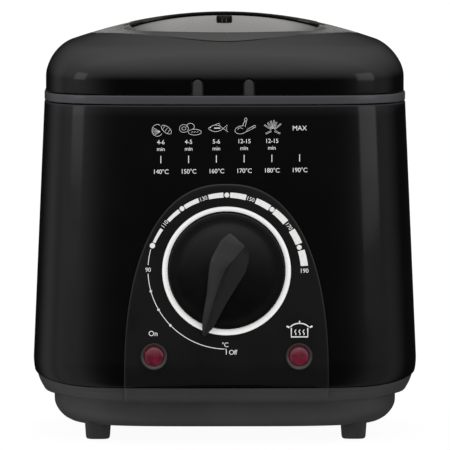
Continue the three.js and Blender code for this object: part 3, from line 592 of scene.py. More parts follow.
ALUMINIUM = surface(
    "aluminium", (0.62, 0.63, 0.64), 0.38, 1.0, rough=((1.4, 5, 0.5, (1, 14, 14)), 0.28, 0.48),
    relief=((0.6, 4, 0.5, (1, 10, 10)), 0.008)
)
NONSTICK = surface(
    "nonstick", (0.03, 0.03, 0.032), 0.5,
    tint=(SPECKS, (0.02, 0.02, 0.022), (0.06, 0.06, 0.063), (0.45, 0.75)), relief=((0.5, 4), 0.02),
    extra={"Coat Weight": 0.15, "Coat Roughness": 0.35}
)
CLEAR = surface(
    "clear_pane", (0.86, 0.88, 0.88), 0.04, relief=((18, 2), 0.01),
    extra={"Transmission Weight": 1.0, "IOR": 1.5}
)
RUBBER = surface("rubber", (0.02, 0.02, 0.021), 0.62, rough=((6, 4), 0.55, 0.72), relief=((0.35, 4), 0.03))
SILICONE = surface(
    "silicone", (0.55, 0.54, 0.5), 0.55, tint=((8, 3), (0.52, 0.51, 0.47), (0.58, 0.57, 0.53)),
    relief=((0.5, 3), 0.02)
)
FELT = surface(
    "felt", (0.74, 0.72, 0.66), 0.95, tint=((0.8, 6), (0.62, 0.6, 0.54), (0.8, 0.78, 0.72)),
    relief=((0.5, 6), 0.25)
)
CARBON = surface(
    "carbon_foam", (0.012, 0.012, 0.012), 0.9, tint=((0.9, 5), (0.004, 0.004, 0.004), (0.03, 0.03, 0.03)),
    relief=((0.9, 5), 0.5)
)
CERAMIC = surface(
    "ceramic", (0.7, 0.68, 0.6), 0.5, tint=((5, 4), (0.64, 0.62, 0.54), (0.74, 0.72, 0.65)),
    relief=((0.5, 4), 0.02)
)
LEAD = surface("lead_sleeve", (0.4, 0.1, 0.05), 0.5, rough=((3, 3), 0.45, 0.6), relief=((0.5, 3), 0.02))


def silver_with_painted_sheen():
    """Silver paint with a painted highlight: its colour runs from dark over the lid's middle to nearly white
    at its sides, in place of the reflections at the silver panel's tips.
    """
    s = Surface("silver_with_painted_sheen", (0.2, 0.197, 0.192), 0.26, 0.92)
    # painted highlight: the base colour brightens sideways from the middle, standing in for reflected light
    s.vary_color(s.outwards(34, 60), (0.125, 0.123, 0.12), (0.93, 0.925, 0.91), (0.0, 1.0))
    s.vary_roughness(s.noise(15, 4), 0.23, 0.3)
    s.bump(s.noise(0.5, 3), 0.006)
    return s.material


SILVER_WITH_PAINTED_SHEEN = silver_with_painted_sheen()

CARRIED = (
    (STEEL, "thermostat_shaft", "thermostat_bracket", "bracket_screw_left", "bracket_screw_right"),
    (STEEL, "tie_rod_left", "tie_rod_right", "tie_nut_left", "tie_nut_right", "handle_bracket"),
    (STEEL, "housing_screw_1", "housing_screw_2", "housing_screw_3", "housing_screw_4"),
    (CERAMIC, "thermostat", "thermal_cutout", "terminal_block"),
    (LEAD, "thermostat_bulb", "lead_to_thermostat", "lead_to_cutout", "lead_to_element"),
    (CLEAR, "neon_lamp_on", "neon_lamp_ready"),
    (ALUMINIUM, "element_plate", "heat_shield"),
    (HEATED, "heating_element"),
    (FELT, "grease_filter"),
    (CARBON, "carbon_filter"),
    (SILICONE, "lid_seal"),
)
for material, *nodes in CARRIED:
    for node in nodes:
        mesh = frame["nodes"][node].data
        mesh.materials.clear()
        mesh.materials.append(material)


# ---- camera, first
EYE = Vector((-39.6, -HALF_DEPTH - 3500.0, 299.0))
LENS_SHARE = 16.03  # focal length over the picture's width
YAW = math.radians(0.636)
TILT = math.radians(3.143)


def make_camera():
    data = bpy.data.cameras.new("camera")
    data.sensor_width = 36.0
    data.lens = data.sensor_width * LENS_SHARE
    data.clip_end = 60.0
    camera = linked("camera", data)
    camera.location = world(EYE)
    camera.rotation_euler = (math.pi / 2 - TILT, 0.0, -YAW)
    scene.camera = camera


make_camera()


# ---- housing
PLAN = outline(1.0, HALF_DEPTH / HALF_WIDTH, count=256)
BAND_TOP_Z = 48.0  # up to here the shell follows the seam's curve


def plan_ring(level, extra, inset_of=band_inset):
    """A ring parallel to the body's widest one; its level may change with x, and its inset with the level."""
    ring = []
    for px, py in PLAN:
        z = level(px * (HALF_WIDTH - 1.2)) if callable(level) else level
        inset = inset_of(z) + extra
        ring.append((px * (HALF_WIDTH - inset), py * HALF_WIDTH * (1 - inset / HALF_DEPTH), z))
    return ring


def housing():
    top = RING_LOW_Z - 0.3
    lip = ((0.45, WALL), (0.15, WALL - 0.4), (0.15, 0.5), (0.3, 0.12))
    rings = [plan_ring(46.0, WALL)]
    rings += [plan_ring(lambda x: seam_z(x) + up, extra) for up, extra in lip]
    rings += [plan_ring(lambda x: mix(seam_z(x) + 0.7, BAND_TOP_Z, t), 0.0) for t in spread(0.0, 1.0, 14)]
    rings += [plan_ring(z, 0.0) for z in spread(BAND_TOP_Z, top - 1.0, 24)[1:]]
    rings += [plan_ring(top - 1 + math.sin(a), 1 - math.cos(a)) for a in spread(0.0, math.pi / 2, 5)[1:]]
    rings += [plan_ring(top, WALL), plan_ring(120.0, WALL)]
    place(loft("housing_shell", rings, BLACK, loop=True, sharp=50), "base", "housing", slot="black_gloss")


housing()


# ---- base tray and feet
TRAY_STEP = 0.9  # the tray stands in from the housing by this
STEP_Z = 19.7
STEP_RISE = 2.2
FOOT_OUT = 0.5  # the feet stand a little further out than in the CAD frame


def step_z(x):
    """The step between band and pan; it rises a little towards the corners."""
    return STEP_Z + STEP_RISE * clamp((abs(x) - 52) / 34) ** 2


def tray():
    under = ((0.15, WALL + 2), (0.15, TRAY_STEP + 0.5), (0.3, TRAY_STEP + 0.1))
    bead = ((1.25, -0.12), (0.95, -0.2), (0.4, -0.1), (0.1, 0.25), (0.0, 0.7))
    curve = [(1 - math.sin(math.pi / 24 * i) ** (2 / PAN_POWER)) for i in range(1, 13)]
    rings = [plan_ring(lambda x: seam_z(x) - down, extra) for down, extra in under]
    for t in spread(0.0, 1.0, 14)[1:]:
        rings.append(plan_ring(lambda x: mix(seam_z(x) - 0.5, step_z(x) + 1.5, t), TRAY_STEP))
    rings += [plan_ring(lambda x: step_z(x) + up, TRAY_STEP + extra) for up, extra in bead]
    for down, extra in ((0.05, -0.3), (0.5, 0.0)):
        rings.append(plan_ring(lambda x: step_z(x) - down, extra, pan_inset))
    levels = [19.0, 17.4] + [PAN_FLOOR_Z + PAN_RZ * share for share in curve]
    rings += [plan_ring(level, 0.0, pan_inset) for level in levels]
    rings += [plan_ring(PAN_FLOOR_Z, extra, pan_inset) for extra in (4.0, 14.0, 40.0)]
    body = loft("tray_shell", rings, GREY, caps=(False, True), sharp=50)
    thickness = body.modifiers.new("skin", "SOLIDIFY")
    thickness.thickness = 2.0 * MM
    thickness.offset = -1
    apply_modifiers(body)

    cutters = []
    for i, middle in enumerate(spread(-24.0, 24.0, 4)):
        slot = [(middle + x, y) for x, y in stadium(1.3, 22.0)]
        cutters.append(prism(f"vent_cut_{i}", slot, PAN_FLOOR_Z - 1, PAN_FLOOR_Z + 1.2, GREY))
    for sx in (-1, 1):
        for sy in (-1, 1):
            cutters.append(prism(f"well_cut_{sx}_{sy}", circle(4.3, sx * 75.0, sy * 46.0), 5.0, 20.4, GREY))
    cut_with(body, cutters, 50)
    place(body, "base", "base_tray", slot="grey_plastic")


def tray_block():
    """The raised block that carries the control panel's sides down to the step."""
    half = PANEL_HALF
    levels = [STEP_Z + 0.15, STEP_Z + 0.35, STEP_Z + 0.8, 22.0, 24.0, 25.5, 26.5]
    levels += [SEAM_Z - 0.35, SEAM_Z - 0.15]
    columns = [-half, -half + 0.15, -half + 0.6, *spread(-half + 1.5, half - 1.5, 40)]
    columns += [half - 0.6, half - 0.15, half]
    rings = []
    for level in levels:
        front, back = [], []
        for x in columns:
            side = clamp((half - abs(x)) / 0.6)
            end = clamp((level - levels[0]) / 0.6)
            swell = math.sqrt(1 - (1 - side) ** 2) * math.sqrt(1 - (1 - end) ** 2)
            proud = mix(-TRAY_STEP - 0.6, PROUD - 0.2, swell)
            front.append((x, front_y(x, level, proud), level))
            back.append((x, front_y(x, level, -TRAY_STEP - 1.0), level))
        rings.append(front + back[::-1])
    around = len(rings[0])
    faces = ring_faces(len(rings), around)
    for first in (0, (len(rings) - 1) * around):
        last = first + around - 1
        faces += [(first + j, first + j + 1, last - j - 1, last - j) for j in range(len(columns) - 1)]
    verts = [point for ring in rings for point in ring]
    place(new_object("tray_block", verts, faces, GREY, sharp=60), "base", slot="grey_plastic")


def feet():
    half = Extent("foot_front_right").half.x
    neck = half - 0.7
    profile = [(half - 1.9, 0.0), (half - 1.4, 0.12), (half - 1.0, 0.5), (half - 0.78, 1.1)]
    profile += [(neck + 0.65 * t, 1.8 + 9.0 * t) for t in spread(0.0, 1.0, 8)] + [(half, 14.0)]
    for end in ("front", "rear"):
        for side, sx in SIDES:
            node = Extent(f"foot_{end}_{side}")
            cx, cy = node.middle.x + FOOT_OUT * sx, node.middle.y
            rings = []
            for r, z in profile + [(half, node.high.z)]:
                rings.append([(*polar(super_radius(a, r, r, 3.2), a, cx, cy), z) for a in angles(64)])
            foot = loft(f"foot_{end}_{side}_shape", rings, RUBBER, sharp=50)
            place(foot, "base", f"foot_{end}_{side}", slot="rubber")


tray()
tray_block()
feet()


# ---- trim collar
TAB_X = 12.5
TAB_MIDDLE = -1.5
TAB_HALF = 2.45
TAB_TOP_Z = COLLAR.high.z
POT_FLANGE = 6.6  # how far the pot's rim reaches out


def collar():
    outer = TOP_INSET
    spigot = LID_INSET + WALL + 0.6
    inner = HALF_WIDTH - POT.half.x + POT_FLANGE - 1.3
    high, low = RING_HIGH_Z, RING_LOW_Z
    profile = [(outer, low), (outer, high), (spigot, high), (spigot, high + 6), (spigot + 2, high + 6)]
    profile += [(spigot + 2, high), (inner, high), (inner, high - 2), (outer + 4.8, high - 2)]
    profile += [(outer + 4.8, low - 5), (outer + 3.0, low - 5), (outer + 3.0, low)]
    rings = [body_ring(inset, z, 256) for inset, z in rounded(profile, 0.7, 3)]
    place(loft("collar_ring", rings, TRIM, loop=True, sharp=50), "base", "collar", slot="grey_plastic")
    for name, side in SIDES:
        middle = TAB_MIDDLE + side * TAB_X
        face = front_y(middle, high) * LID_B / (HALF_DEPTH - TOP_INSET) + 0.25
        rows = []
        for inset, depth in ((0.5, 0.0), (0.15, 0.12), (0.0, 0.5), (0.0, 3.6)):
            points = arched(TAB_HALF - inset, high - 0.6, TAB_TOP_Z - TAB_HALF, 16)
            rows.append([(middle + x, face + depth, z) for x, z in points])
        place(loft(f"collar_tab_{name}", rows, GREY, sharp=50), "base", slot="grey_plastic")


collar()


# ---- control panel
ARCH_Z = 30.0  # where the panel's arch starts
ARCH_POWER = 2.38


def arch(grow=0.0):
    """The panel's outline: up one side, over the arch and down to the seam."""
    a, b = PANEL_HALF + grow, PANEL_TOP_Z - ARCH_Z + grow
    low = SEAM_Z + 0.15 - grow * 0.2
    points = [polar(super_radius(t, a, b, ARCH_POWER), t, 0.0, ARCH_Z) for t in spread(0.0, math.pi, 120)]
    points += [(-a, z) for z in spread(ARCH_Z, low, 3)[1:]]
    return points + [(a, z) for z in spread(low, ARCH_Z, 3)[:-1]]


def control_panel():
    edge = [(0.0, 0.3), (0.0, 0.35), (0.0, 0.9), (-0.12, 1.25), (-0.35, 1.48)]
    edge += [(-0.7, PROUD - 0.03), (-1.2, PROUD)]
    rings = [[(x, front_y(x, z, proud), z) for x, z in arch(grow)] for grow, proud in edge]
    last = arch(-1.2)
    middle = [(0.0, 72.0)] * len(last)
    for i in range(1, 28):
        rings.append([(x, front_y(x, z, PROUD), z) for x, z in blend(middle, last, 1 - i / 28)])
    face = loft("control_panel_face", rings, PANEL, caps=(False, True), sharp=60)
    place(face, "base", "control_panel", slot="panel_black")


control_panel()


# ---- bright ring, knob and lamps
DIAL = on_front(0.0, KNOB_Z)
DISC_R = BEZEL_R - 3.2


def shift_inside(ring, at, radius):
    """Lifts the hole of a ring, so that the ring is narrower at its top than at its bottom."""
    lift = at.to_3x3() @ Vector((0, 0.35, 0))
    back = at.inverted()
    for vert in ring.data.vertices:
        local = back @ (vert.co / MM)
        if math.hypot(local.x, local.y) < radius:
            vert.co += lift * MM


def bezel():
    inner = BEZEL_R - 2.7
    profile = [(inner, 0.35), (BEZEL_R, 0.35), (BEZEL_R, 1.4), (BEZEL_R - 0.7, 2.35), (inner, 2.2)]
    ring = turned("dial_ring", rounded(profile, 0.35, 4), DIAL, BRIGHT, 160)
    shift_inside(ring, DIAL, inner + 1.2)
    place(ring, "base", "dial_bezel", slot="chrome_trim")


def knob():
    turn = DIAL @ Matrix.Rotation(POINTER_REST, 4, "Z")
    profile = [(0.0, 1.1), (DISC_R - 0.4, 1.1), (DISC_R, 1.4), (DISC_R, 3.7)]
    profile += [polar(0.3, a, DISC_R - 0.3, 3.9) for a in (0.3, 0.7, 1.1, 1.5)] + [(25.5, 4.22), (23.5, 4.24)]
    for r in spread(22.5, 0.0, 12):
        profile.append((r, 4.3 + 2.9 * (1 - (r / 23.5) ** 2) - 0.12 * smooth((r - 19.0) / 3.5)))
    place(turned("knob_disc", profile, turn, KNOB, 128), "knob", "knob", slot="black_gloss")

    # the grip: a faceted blade; along runs towards its tip and across to its right
    edge = [(34.1, -0.7), (32.1, -2.3), (25.4, -4.2), (14.1, -5.8), (3.0, -8.3), (-2.5, -9.1), (-7.0, -8.5)]
    edge += [(-14.0, -7.1), (-18.2, -4.3), (-18.1, -2.0), (-16.6, 3.6), (-13.3, 7.1), (-8.6, 8.8)]
    edge += [(-1.8, 8.9), (4.6, 7.1), (15.5, 4.5), (28.0, 2.2)]
    crest = [(-13.8, 4.7), (-7.2, 1.9), (-1.5, -0.7), (5.3, -1.4), (13.6, -1.6), (25.0, -1.2)]
    around = resample(rounded(edge, 1.6, 4), 144)[::-1]

    def crest_point(along):
        for a, b in zip(crest, crest[1:]):
            if along <= b[0]:
                break
        return [mix(p, q, clamp((along - a[0]) / (b[0] - a[0]))) for p, q in zip(a, b)]

    def height(along, low, high):
        return mix(low, high, clamp((31.0 - along) / 36.0) ** 0.8)

    rings = []
    wall = [(0.0, 0.0), (0.0, 0.5), (0.0, 0.95), (0.02, 1.0)]
    for inward, rise in wall + [(share, None) for share in spread(0.0, 1.0, 8)[1:]]:
        ring = []
        for along, across in around:
            ridge = crest_point(along)
            side = height(along, 5.6, 9.2)
            if rise is None:
                top = mix(side, height(ridge[0], 6.6, 15.6), inward - 0.12 * inward**4)
            else:
                top = mix(3.4, side, rise)
            share = min(inward, 0.985)
            point = (mix(across, ridge[1], share), -mix(along, ridge[0], share), top)
            ring.append(tuple(turn @ Vector(point)))
        rings.append(ring)
    place(loft("knob_grip", rings, GRIP, sharp=20), "knob", slot="black_gloss")


def lamps():
    outer = LAMP_R + 0.9
    hole = LAMP_R - 0.45
    dome = hole - 0.3
    rim = rounded([(hole, 0.5), (outer, 0.3), (outer, 1.5), (outer - 0.45, 1.5), (hole, 0.9)], 0.15, 3)
    profile = [(0.0, -4.0), (LAMP_R, -4.0), (LAMP_R, 0.2), (dome, 0.2)]
    profile += [(dome * math.cos(a), 0.4 + 1.5 * math.sin(a)) for a in spread(0.0, math.pi / 2, 10)[1:-1]]
    for name, side in (("on", -1), ("ready", 1)):
        at = on_front(side * LAMP_X, LAMP_Z)
        ring = turned(f"lamp_rim_{name}", rim, at, LAMP_RIM, 72)
        shift_inside(ring, at, hole + 0.4)
        place(ring, "base", f"lamp_bezel_{name}", slot="chrome_trim")
        lens = turned(f"lamp_glass_{name}", profile + [(0.0, 1.9)], at, RED, 72)
        place(lens, "base", f"lamp_lens_{name}", slot="red_lens")


bezel()
knob()
lamps()


# ---- printed marks
INK = 0.05  # how far the print stands off the surface
THIN = 0.16  # width of the pictures' lines
FINE = 0.14
DIAL_X = 0.17  # the printed scale is not quite in the middle of the knob
DIAL_Z = KNOB_Z + 0.35


def oval(x, z, rx, rz, start=0, end=360, steps=12, turn=0.0):
    """Points of an oval or a part of one, between two angles in degrees."""
    bearings = [math.radians(degrees) for degrees in spread(start, end, steps)]
    return rotated([(rx * math.cos(a), rz * math.sin(a)) for a in bearings], math.radians(turn), x, z)


class Ink:
    """Collects flat marks in (x, z) on the front and lays them on the housing or the panel."""

    def __init__(self, name, proud):
        self.name = name
        self.proud = proud
        self.verts = []
        self.faces = []

    def add(self, points, faces):
        start = len(self.verts)
        self.verts += points
        self.faces += [tuple(start + i for i in face) for face in faces]

    def stroke(self, points, width, closed=False):
        n = len(points)
        pairs = []
        for i, (x, z) in enumerate(points):
            before, after = neighbours(points, i, closed)
            dx, dz = after[0] - before[0], after[1] - before[1]
            length = math.hypot(dx, dz) or 1.0
            nx, nz = -dz / length * width / 2, dx / length * width / 2
            pairs += [(x + nx, z + nz), (x - nx, z - nz)]
        nexts = [(i, (i + 1) % n) for i in range(n if closed else n - 1)]
        self.add(pairs, [(2 * i, 2 * i + 1, 2 * j + 1, 2 * j) for i, j in nexts])

    def draw(self, x, z, *lines, width=THIN):
        """Lines given by their points from (x, z)."""
        for line in lines:
            self.stroke([(x + px, z + pz) for px, pz in line], width)

    def ring(self, x, z, rx, rz, steps=12, turn=0.0, width=THIN):
        self.stroke(oval(x, z, rx, rz, 0, 360, steps, turn), width, closed=True)

    def dot(self, x, z, radius, count=20):
        self.add(circle(radius, x, z, count), [tuple(range(count))])

    def sector(self, inner, outer, start, end):
        """A piece of the dial's ring between two radii, each worked out from the angle in degrees."""
        points = []
        for degrees in spread(start, end, 12):
            points += [dial_point(radius(degrees), degrees) for radius in (inner, outer)]
        self.add(points, [(i, i + 1, i + 3, i + 2) for i in range(0, 24, 2)])

    def text(self, words, x, z, height, turn=0.0, spacing=1.0):
        curve = bpy.data.curves.new("words", "FONT")
        curve.body = words
        curve.align_x = "CENTER"
        curve.align_y = "CENTER"
        curve.size = height / 0.73
        curve.space_character = spacing
        curve.resolution_u = 4
        obj = linked("words", curve)
        bpy.context.view_layer.update()
        mesh = evaluated(obj)
        levels = [v.co.y for v in mesh.vertices]
        middle = (min(levels) + max(levels)) / 2
        flat = [(v.co.x, v.co.y - middle) for v in mesh.vertices]
        self.add(rotated(flat, turn, x, z), [tuple(p.vertices) for p in mesh.polygons])
        bpy.data.objects.remove(obj)
        bpy.data.curves.remove(curve)
        bpy.data.meshes.remove(mesh)

    def lay(self):
        verts = [(x, front_y(x, z, self.proud + INK), z) for x, z in self.verts]
        mesh = bpy.data.meshes.new(self.name)
        mesh.from_pydata([world(v) for v in verts], [], self.faces)
        mesh.materials.append(PRINT)
        for polygon in mesh.polygons:
            if polygon.normal.y > 0:
                polygon.flip()
        mesh.update()
        place(linked(self.name, mesh), "base", slot="chrome_trim")


def dial_point(radius, degrees):
    return polar(radius, math.radians(degrees), DIAL_X, DIAL_Z)


def band_outer(degrees):
    left, right = clamp((degrees - 100) / 60), (100 - degrees) / 100
    return 37.7 + (1.9 * right**2 if degrees < 100 else 0.8 * left**2)


def band_inner(degrees):
    return band_outer(degrees) - 1.15 - 2.35 * clamp((165 - degrees) / 160) ** 0.75


def dial_print():
    ink = Ink("dial_print", PROUD)
    ink.text("190", DIAL_X + 37.6, DIAL_Z - 0.3, 2.2, 0.0, 0.95)
    ink.text("90", DIAL_X - 38.3, DIAL_Z + 0.2, 2.1, 0.0, 0.95)
    numbers = (("170", 37.0, 35.3), ("150", 36.4, 71.6), ("130", 36.6, 108.3), ("110", 37.6, 143.6))
    for words, radius, degrees in numbers:
        ink.text(words, *dial_point(radius, degrees), 2.05, math.radians(degrees - 90), 0.95)
    for radius, degrees in ((36.9, 17.4), (36.8, 53.3), (36.5, 90.0), (37.0, 126.1)):
        ink.dot(*dial_point(radius, degrees), 1.2)
    ink.dot(*dial_point(38.1, 161.8), 1.3)
    spans = [(159.3, 147.7), (140.0, 128.7), (123.8, 111.9), (104.1, 92.6), (87.5, 75.1)]
    spans += [(67.3, 55.5), (51.2, 39.0), (31.5, 20.0), (14.8, 3.1)]
    for start, end in spans:
        ink.sector(band_inner, band_outer, start, end)
    for start, end in ((164.7, 176.3), (182.6, 268.2)):
        ink.stroke([dial_point(38.35, degrees) for degrees in spread(start, end, 40)], 0.34)
    for degrees in (195.5, 210.0, 224.3):
        ink.dot(*dial_point(38.4, degrees), 0.62, 14)
    ink.draw(DIAL_X, DIAL_Z, [(-0.9, -38.35), (-0.3, -38.35), (-0.3, -41.0)], width=0.34)
    ink.text("°C", DIAL_X - 0.85, DIAL_Z - 36.2, 2.3, 0.0, 0.9)
    ink.text("Off", DIAL_X + 2.9, DIAL_Z - 39.9, 2.4, 0.0, 0.9)
    ink.text("On", -LAMP_X - 0.4, 54.0, 2.6, 0.0, 0.95)
    pot_icon(ink, LAMP_X + 0.2, 54.4)
    ink.lay()


def pot_icon(ink, x, z):
    """A pot with a domed lid and three curls of steam in it."""
    ink.draw(x, z, [(-4.0, 2.2), (-4.0, -2.1), (4.0, -2.1), (4.0, 2.2)], [(0, 4.4), (0, 5.7)], width=0.6)
    ink.stroke(oval(x, z + 1.7, 4.7, 2.8, 160, 20, 14), 0.55)
    ink.draw(x, z, [(-4.9, 2.5), (-6.3, 3.1)], [(4.9, 2.5), (6.3, 3.1)], width=0.8)
    for dx in (-2.0, 0.0, 2.0):
        ink.draw(x, z, [(dx + 0.32 * math.sin(k * 1.05), 0.38 * k - 1.2) for k in range(8)], width=0.42)


COLUMN_X = spread(-31.9, 35.6, 5)
COLUMN_RISE = 0.16  # each column stands this much above the one on its left


def cooking_print():
    ink = Ink("cooking_print", 0.0)
    for i, x in enumerate(COLUMN_X):
        up = COLUMN_RISE * i
        ink.text(f"{140 + 10 * i}°C", x, 132.6 + up, 2.25, 0.0, 0.96)
        ink.stroke([(x, 136.6 + up), (x, 140.2 + up)], 0.36)
    foods = [("4-6", shell_icon, 0.5, 152.6), ("4-5", rings_icon, 0.7, 152.8), ("5-6", fish_icon, 0.5, 153.4)]
    foods += [("12-15", leg_icon, 0.2, 153.6), ("12-15", chips_icon, 0.5, 152.6)]
    for i, (minutes, picture, dx, z) in enumerate(foods):
        x, up = COLUMN_X[i], COLUMN_RISE * i
        ink.text(minutes, x, 146.9 + up, 2.15, 0.0, 0.96)
        ink.text("min", x, 143.5 + up, 2.0, 0.0, 0.96)
        picture(ink, x + dx, z + up)
    ink.text("MAX", COLUMN_X[-1], 152.9 + COLUMN_RISE * 5, 2.4)
    ink.lay()


def shell_icon(ink, x, z):
    ink.stroke(oval(x - 2.2, z, 2.6, 2.9, 60, 330, 14), THIN)
    ribs = [math.radians(degrees) for degrees in (150, 172, 194, 216, 238)]
    ink.draw(x, z, *[[(-0.8, -0.6), (-2.2 + 2.5 * math.cos(a), 2.7 * math.sin(a))] for a in ribs], width=FINE)
    ink.ring(x + 2.2, z + 0.4, 2.9, 1.5, 18, -38)
    for k in (-1.2, 0.0, 1.2):
        ink.draw(x + 2.2 + k, z + 0.4 - 0.8 * k, [(-0.7, -0.9), (0.6, 0.9)], width=FINE)


def rings_icon(ink, x, z):
    ink.ring(x - 3.0, z + 0.6, 2.2, 1.9, 20)
    ink.ring(x - 3.0, z + 0.6, 1.0, 0.8, 14, width=FINE)
    ink.stroke(oval(x + 0.2, z + 1.5, 1.9, 1.6, -60, 190, 16), THIN)
    ink.ring(x + 2.3, z - 1.2, 3.2, 1.4, 22)
    for k in (-1.3, 0.0, 1.3):
        ink.draw(x + 2.3 + k, z, [(-0.4, -1.5), (0.4, -0.8)], width=FINE)


def fish_icon(ink, x, z):
    for belly in (1.7, -1.5):
        side = [(7.2 * t - 4.4, belly * math.sin(math.pi * t) ** 0.8 - 0.2) for t in spread(0.0, 1.0, 12)]
        ink.draw(x, z, side)
    ink.draw(x, z, [(2.8, -0.2), (4.9, 1.6), (4.3, -0.1), (5.1, -1.8), (2.8, -0.2)])
    ink.draw(x, z, [(-1.2, 1.5), (0.8, 2.4), (1.4, 1.1)])
    ink.draw(x, z, [(-1.6, 0.0), (1.4, 0.0)], width=0.4)
    ink.dot(x - 3.3, z + 0.2, 0.22, 10)


def leg_icon(ink, x, z):
    ink.stroke(oval(x - 1.6, z - 1.2, 3.1, 1.9, 60, 350, 20, 12), THIN)
    ink.draw(x, z, [(-0.9, 0.7), (0.2, 3.6)], [(0.3, 0.2), (1.0, 3.4)])
    ink.ring(x + 0.6, z + 3.8, 0.6, 0.8)
    ink.draw(x, z, [(1.4, -1.0), (4.3, 0.7)], [(1.0, -2.1), (4.8, -0.2)])
    ink.ring(x + 4.7, z + 0.4, 0.7, 0.55, 12, 30)
    ink.stroke(oval(x - 2.0, z - 1.0, 1.2, 0.8, 20, 200, 8), FINE)


def chips_icon(ink, x, z):
    chips = ((148, 4.0), (124, 3.6), (103, 3.8), (84, 4.0), (66, 3.5), (38, 4.2), (205, 3.0), (-24, 3.0))
    for degrees, length in chips:
        corners = ((0.9, 0.26), (0.9 + length, 0.26), (0.9 + length, -0.26), (0.9, -0.26))
        ink.stroke(rotated(corners, math.radians(degrees), x, z - 0.6), FINE, closed=True)


dial_print()
cooking_print()


# ---- lid
POINTS = 288  # round the lid's openings
WELL_FLOOR = WINDOW.high.z + 0.3
COVER_EDGE = 1.5  # thickness of the cover's visible front edge
PANE_A, PANE_B = WINDOW_RX + 0.3, WINDOW_RY + 0.3
LEDGE_DROP = 2.75  # the ledge that the cover lies on, below the lid's top
LEDGE_FOOT = 4.0
CHAMBER_X = 33.0  # the filter chamber, under the cover
CHAMBER_Y = (12.0, 56.0)


def insert_radius(angle, grow=0.0):
    """The silver panel comes to a soft point at the front and is an ellipse at the back."""
    share = smooth(2.5 * math.sin(angle))
    reach = mix(INSERT_FRONT, INSERT_REAR, share)
    return super_radius(angle, INSERT_RX + grow, reach + grow, 1.75 + 0.25 * share)


def in_insert(x, y):
    return math.hypot(x, y) < insert_radius(math.atan2(y, x), -0.2)


def in_window(x, y, grow=0.0):
    return (x / (PANE_A + grow)) ** 2 + ((y - WINDOW_Y) / (PANE_B + grow)) ** 2 < 1


def in_plate(x, y, grow=0.0):
    across = abs(x / (COVER_RX + grow)) ** COVER_POWER
    along = abs((y - COVER_Y) / (COVER_RY + grow)) ** COVER_POWER
    return across + along < 1 and y < HINGE_Y + grow


def in_cover(x, y, grow=0.0):
    """The filter cover: its plate and the two arms that run round the back of the window."""
    return in_plate(x, y, grow) or (in_window(x, y, HORN + grow) and y > WINDOW_Y + HORN_FRONT - grow)


def reach_of(angle, x, y, inside):
    """How far a region runs from a place along a bearing."""
    low, high = 0.0, 120.0
    for _ in range(30):
        middle = (low + high) / 2
        if inside(*polar(middle, angle, x, y)):
            low = middle
        else:
            high = middle
    return low


def region(y, inside, count=POINTS):
    """The edge of a region, seen from a place on the middle line."""
    return [polar(reach_of(angle, 0.0, y, inside), angle, 0.0, y) for angle in angles(count)]


def vent_cutters(name, half_width, half_length, low, high, material):
    """The four slots that let steam out over the filter."""
    slots = []
    for i in range(4):
        points = [(x, 19.0 + i * 10 + y) for y, x in stadium(half_width, half_length)]
        slots.append(prism(f"{name}_{i}", points, low, high, material))
    return slots


def lid_shell():
    fine = [polar(insert_radius(a, 0.15), a) for a in angles(5 * POINTS)]
    opening = resample(fine, POINTS)
    bearings = [math.atan2(y, x) for x, y in opening]
    outer = [polar(super_radius(a, LID_A, LID_B, POWER), a) for a in bearings]
    low = RING_HIGH_Z + 0.4
    skirt = [(WALL, 176.0), (WALL, low + 0.3), (WALL - 0.3, low), (0.5, low), (0.15, low + 0.15)]
    skirt += [(0.0, z) for z in spread(low + 0.5, SHOULDER_Z, 6)]
    rings = [[(x * (1 - inset / LID_A), y * (1 - inset / LID_B), z) for x, y in outer] for inset, z in skirt]
    drops = [0.0] * 42 + [0.05, 0.35]
    for share, drop in zip(spread(0.0, 1.0, len(drops))[1:], drops):
        rings.append(on_lid(blend(opening, outer, 1 - share**2), drop))
    rings.append(on_lid(opening, WALL))
    rings.append(on_lid(blend(opening, [(x * 0.97, y * 0.97) for x, y in outer], 0.8), 0.4, WALL))
    shell = loft("lid_dome", rings, BLACK, loop=True, sharp=50)
    cutters = []
    half = TAB_HALF + 0.45
    for name, side in SIDES:
        points = arched(half, low - 3, TAB_TOP_Z + 0.6 - half, 20)
        rows = [[(TAB_MIDDLE + side * TAB_X + x, y, z) for x, z in points] for y in (-LID_B - 6, -LID_B + 6)]
        cutters.append(loft(f"notch_cut_{name}", rows, BLACK))
    cut_with(shell, cutters, 50)
    place(shell, "lid", "lid_shell", slot="black_gloss")


def top_panel():
    """A frame round the window in front and round the filter cover behind."""
    hole = region(-6.0, lambda x, y: in_window(x, y) or in_cover(x, y, 0.3))
    outer = region(-6.0, in_insert)
    rows = [(0.8, 4.4), (1.0, 4.4), (1.0, 0.0)] + [(0.99 - 0.08 * i, 0.0) for i in range(12)]
    rows += [(0.02, 0.03), (0.006, 0.15), (0.0, 0.45), (0.0, 2.7)]
    rings = [on_lid(blend(hole, outer, share), drop) for share, drop in rows]
    # the frame's silver carries a painted highlight that brightens towards its left and right tips
    rim = loft("lid_insert", rings, SILVER_WITH_PAINTED_SHEEN, loop=True, sharp=50)
    place(rim, "lid", "lid_top_panel", slot="silver_plastic")


def window_well():
    """The sloping inner wall that runs from the panel down to the sunken pane."""
    rows = [(0.0, 1.0), (0.0, 0.02), (0.08, 0.0)]
    rows += [(0.08 + 5.4 * t**0.9, t**1.15) for t in spread(0.0, 1.0, 8)[1:]] + [(6.2, 1.0)]
    rings = []
    for inset, sink in rows:
        ring = []
        for angle in angles(POINTS):
            c, s = math.cos(angle), math.sin(angle)
            x, y = PANE_A * c, WINDOW_Y + PANE_B * s
            edge = lid_top(x, y) - 0.25 - (COVER_EDGE if in_cover(x, y + 1.5) else 0.0)
            ring.append((x - inset * c, y - inset * s, mix(edge, WELL_FLOOR, sink)))
        rings.append(ring)
    place(loft("window_well", rings, SILVER, loop=True, sharp=50), "lid", slot="silver_plastic")


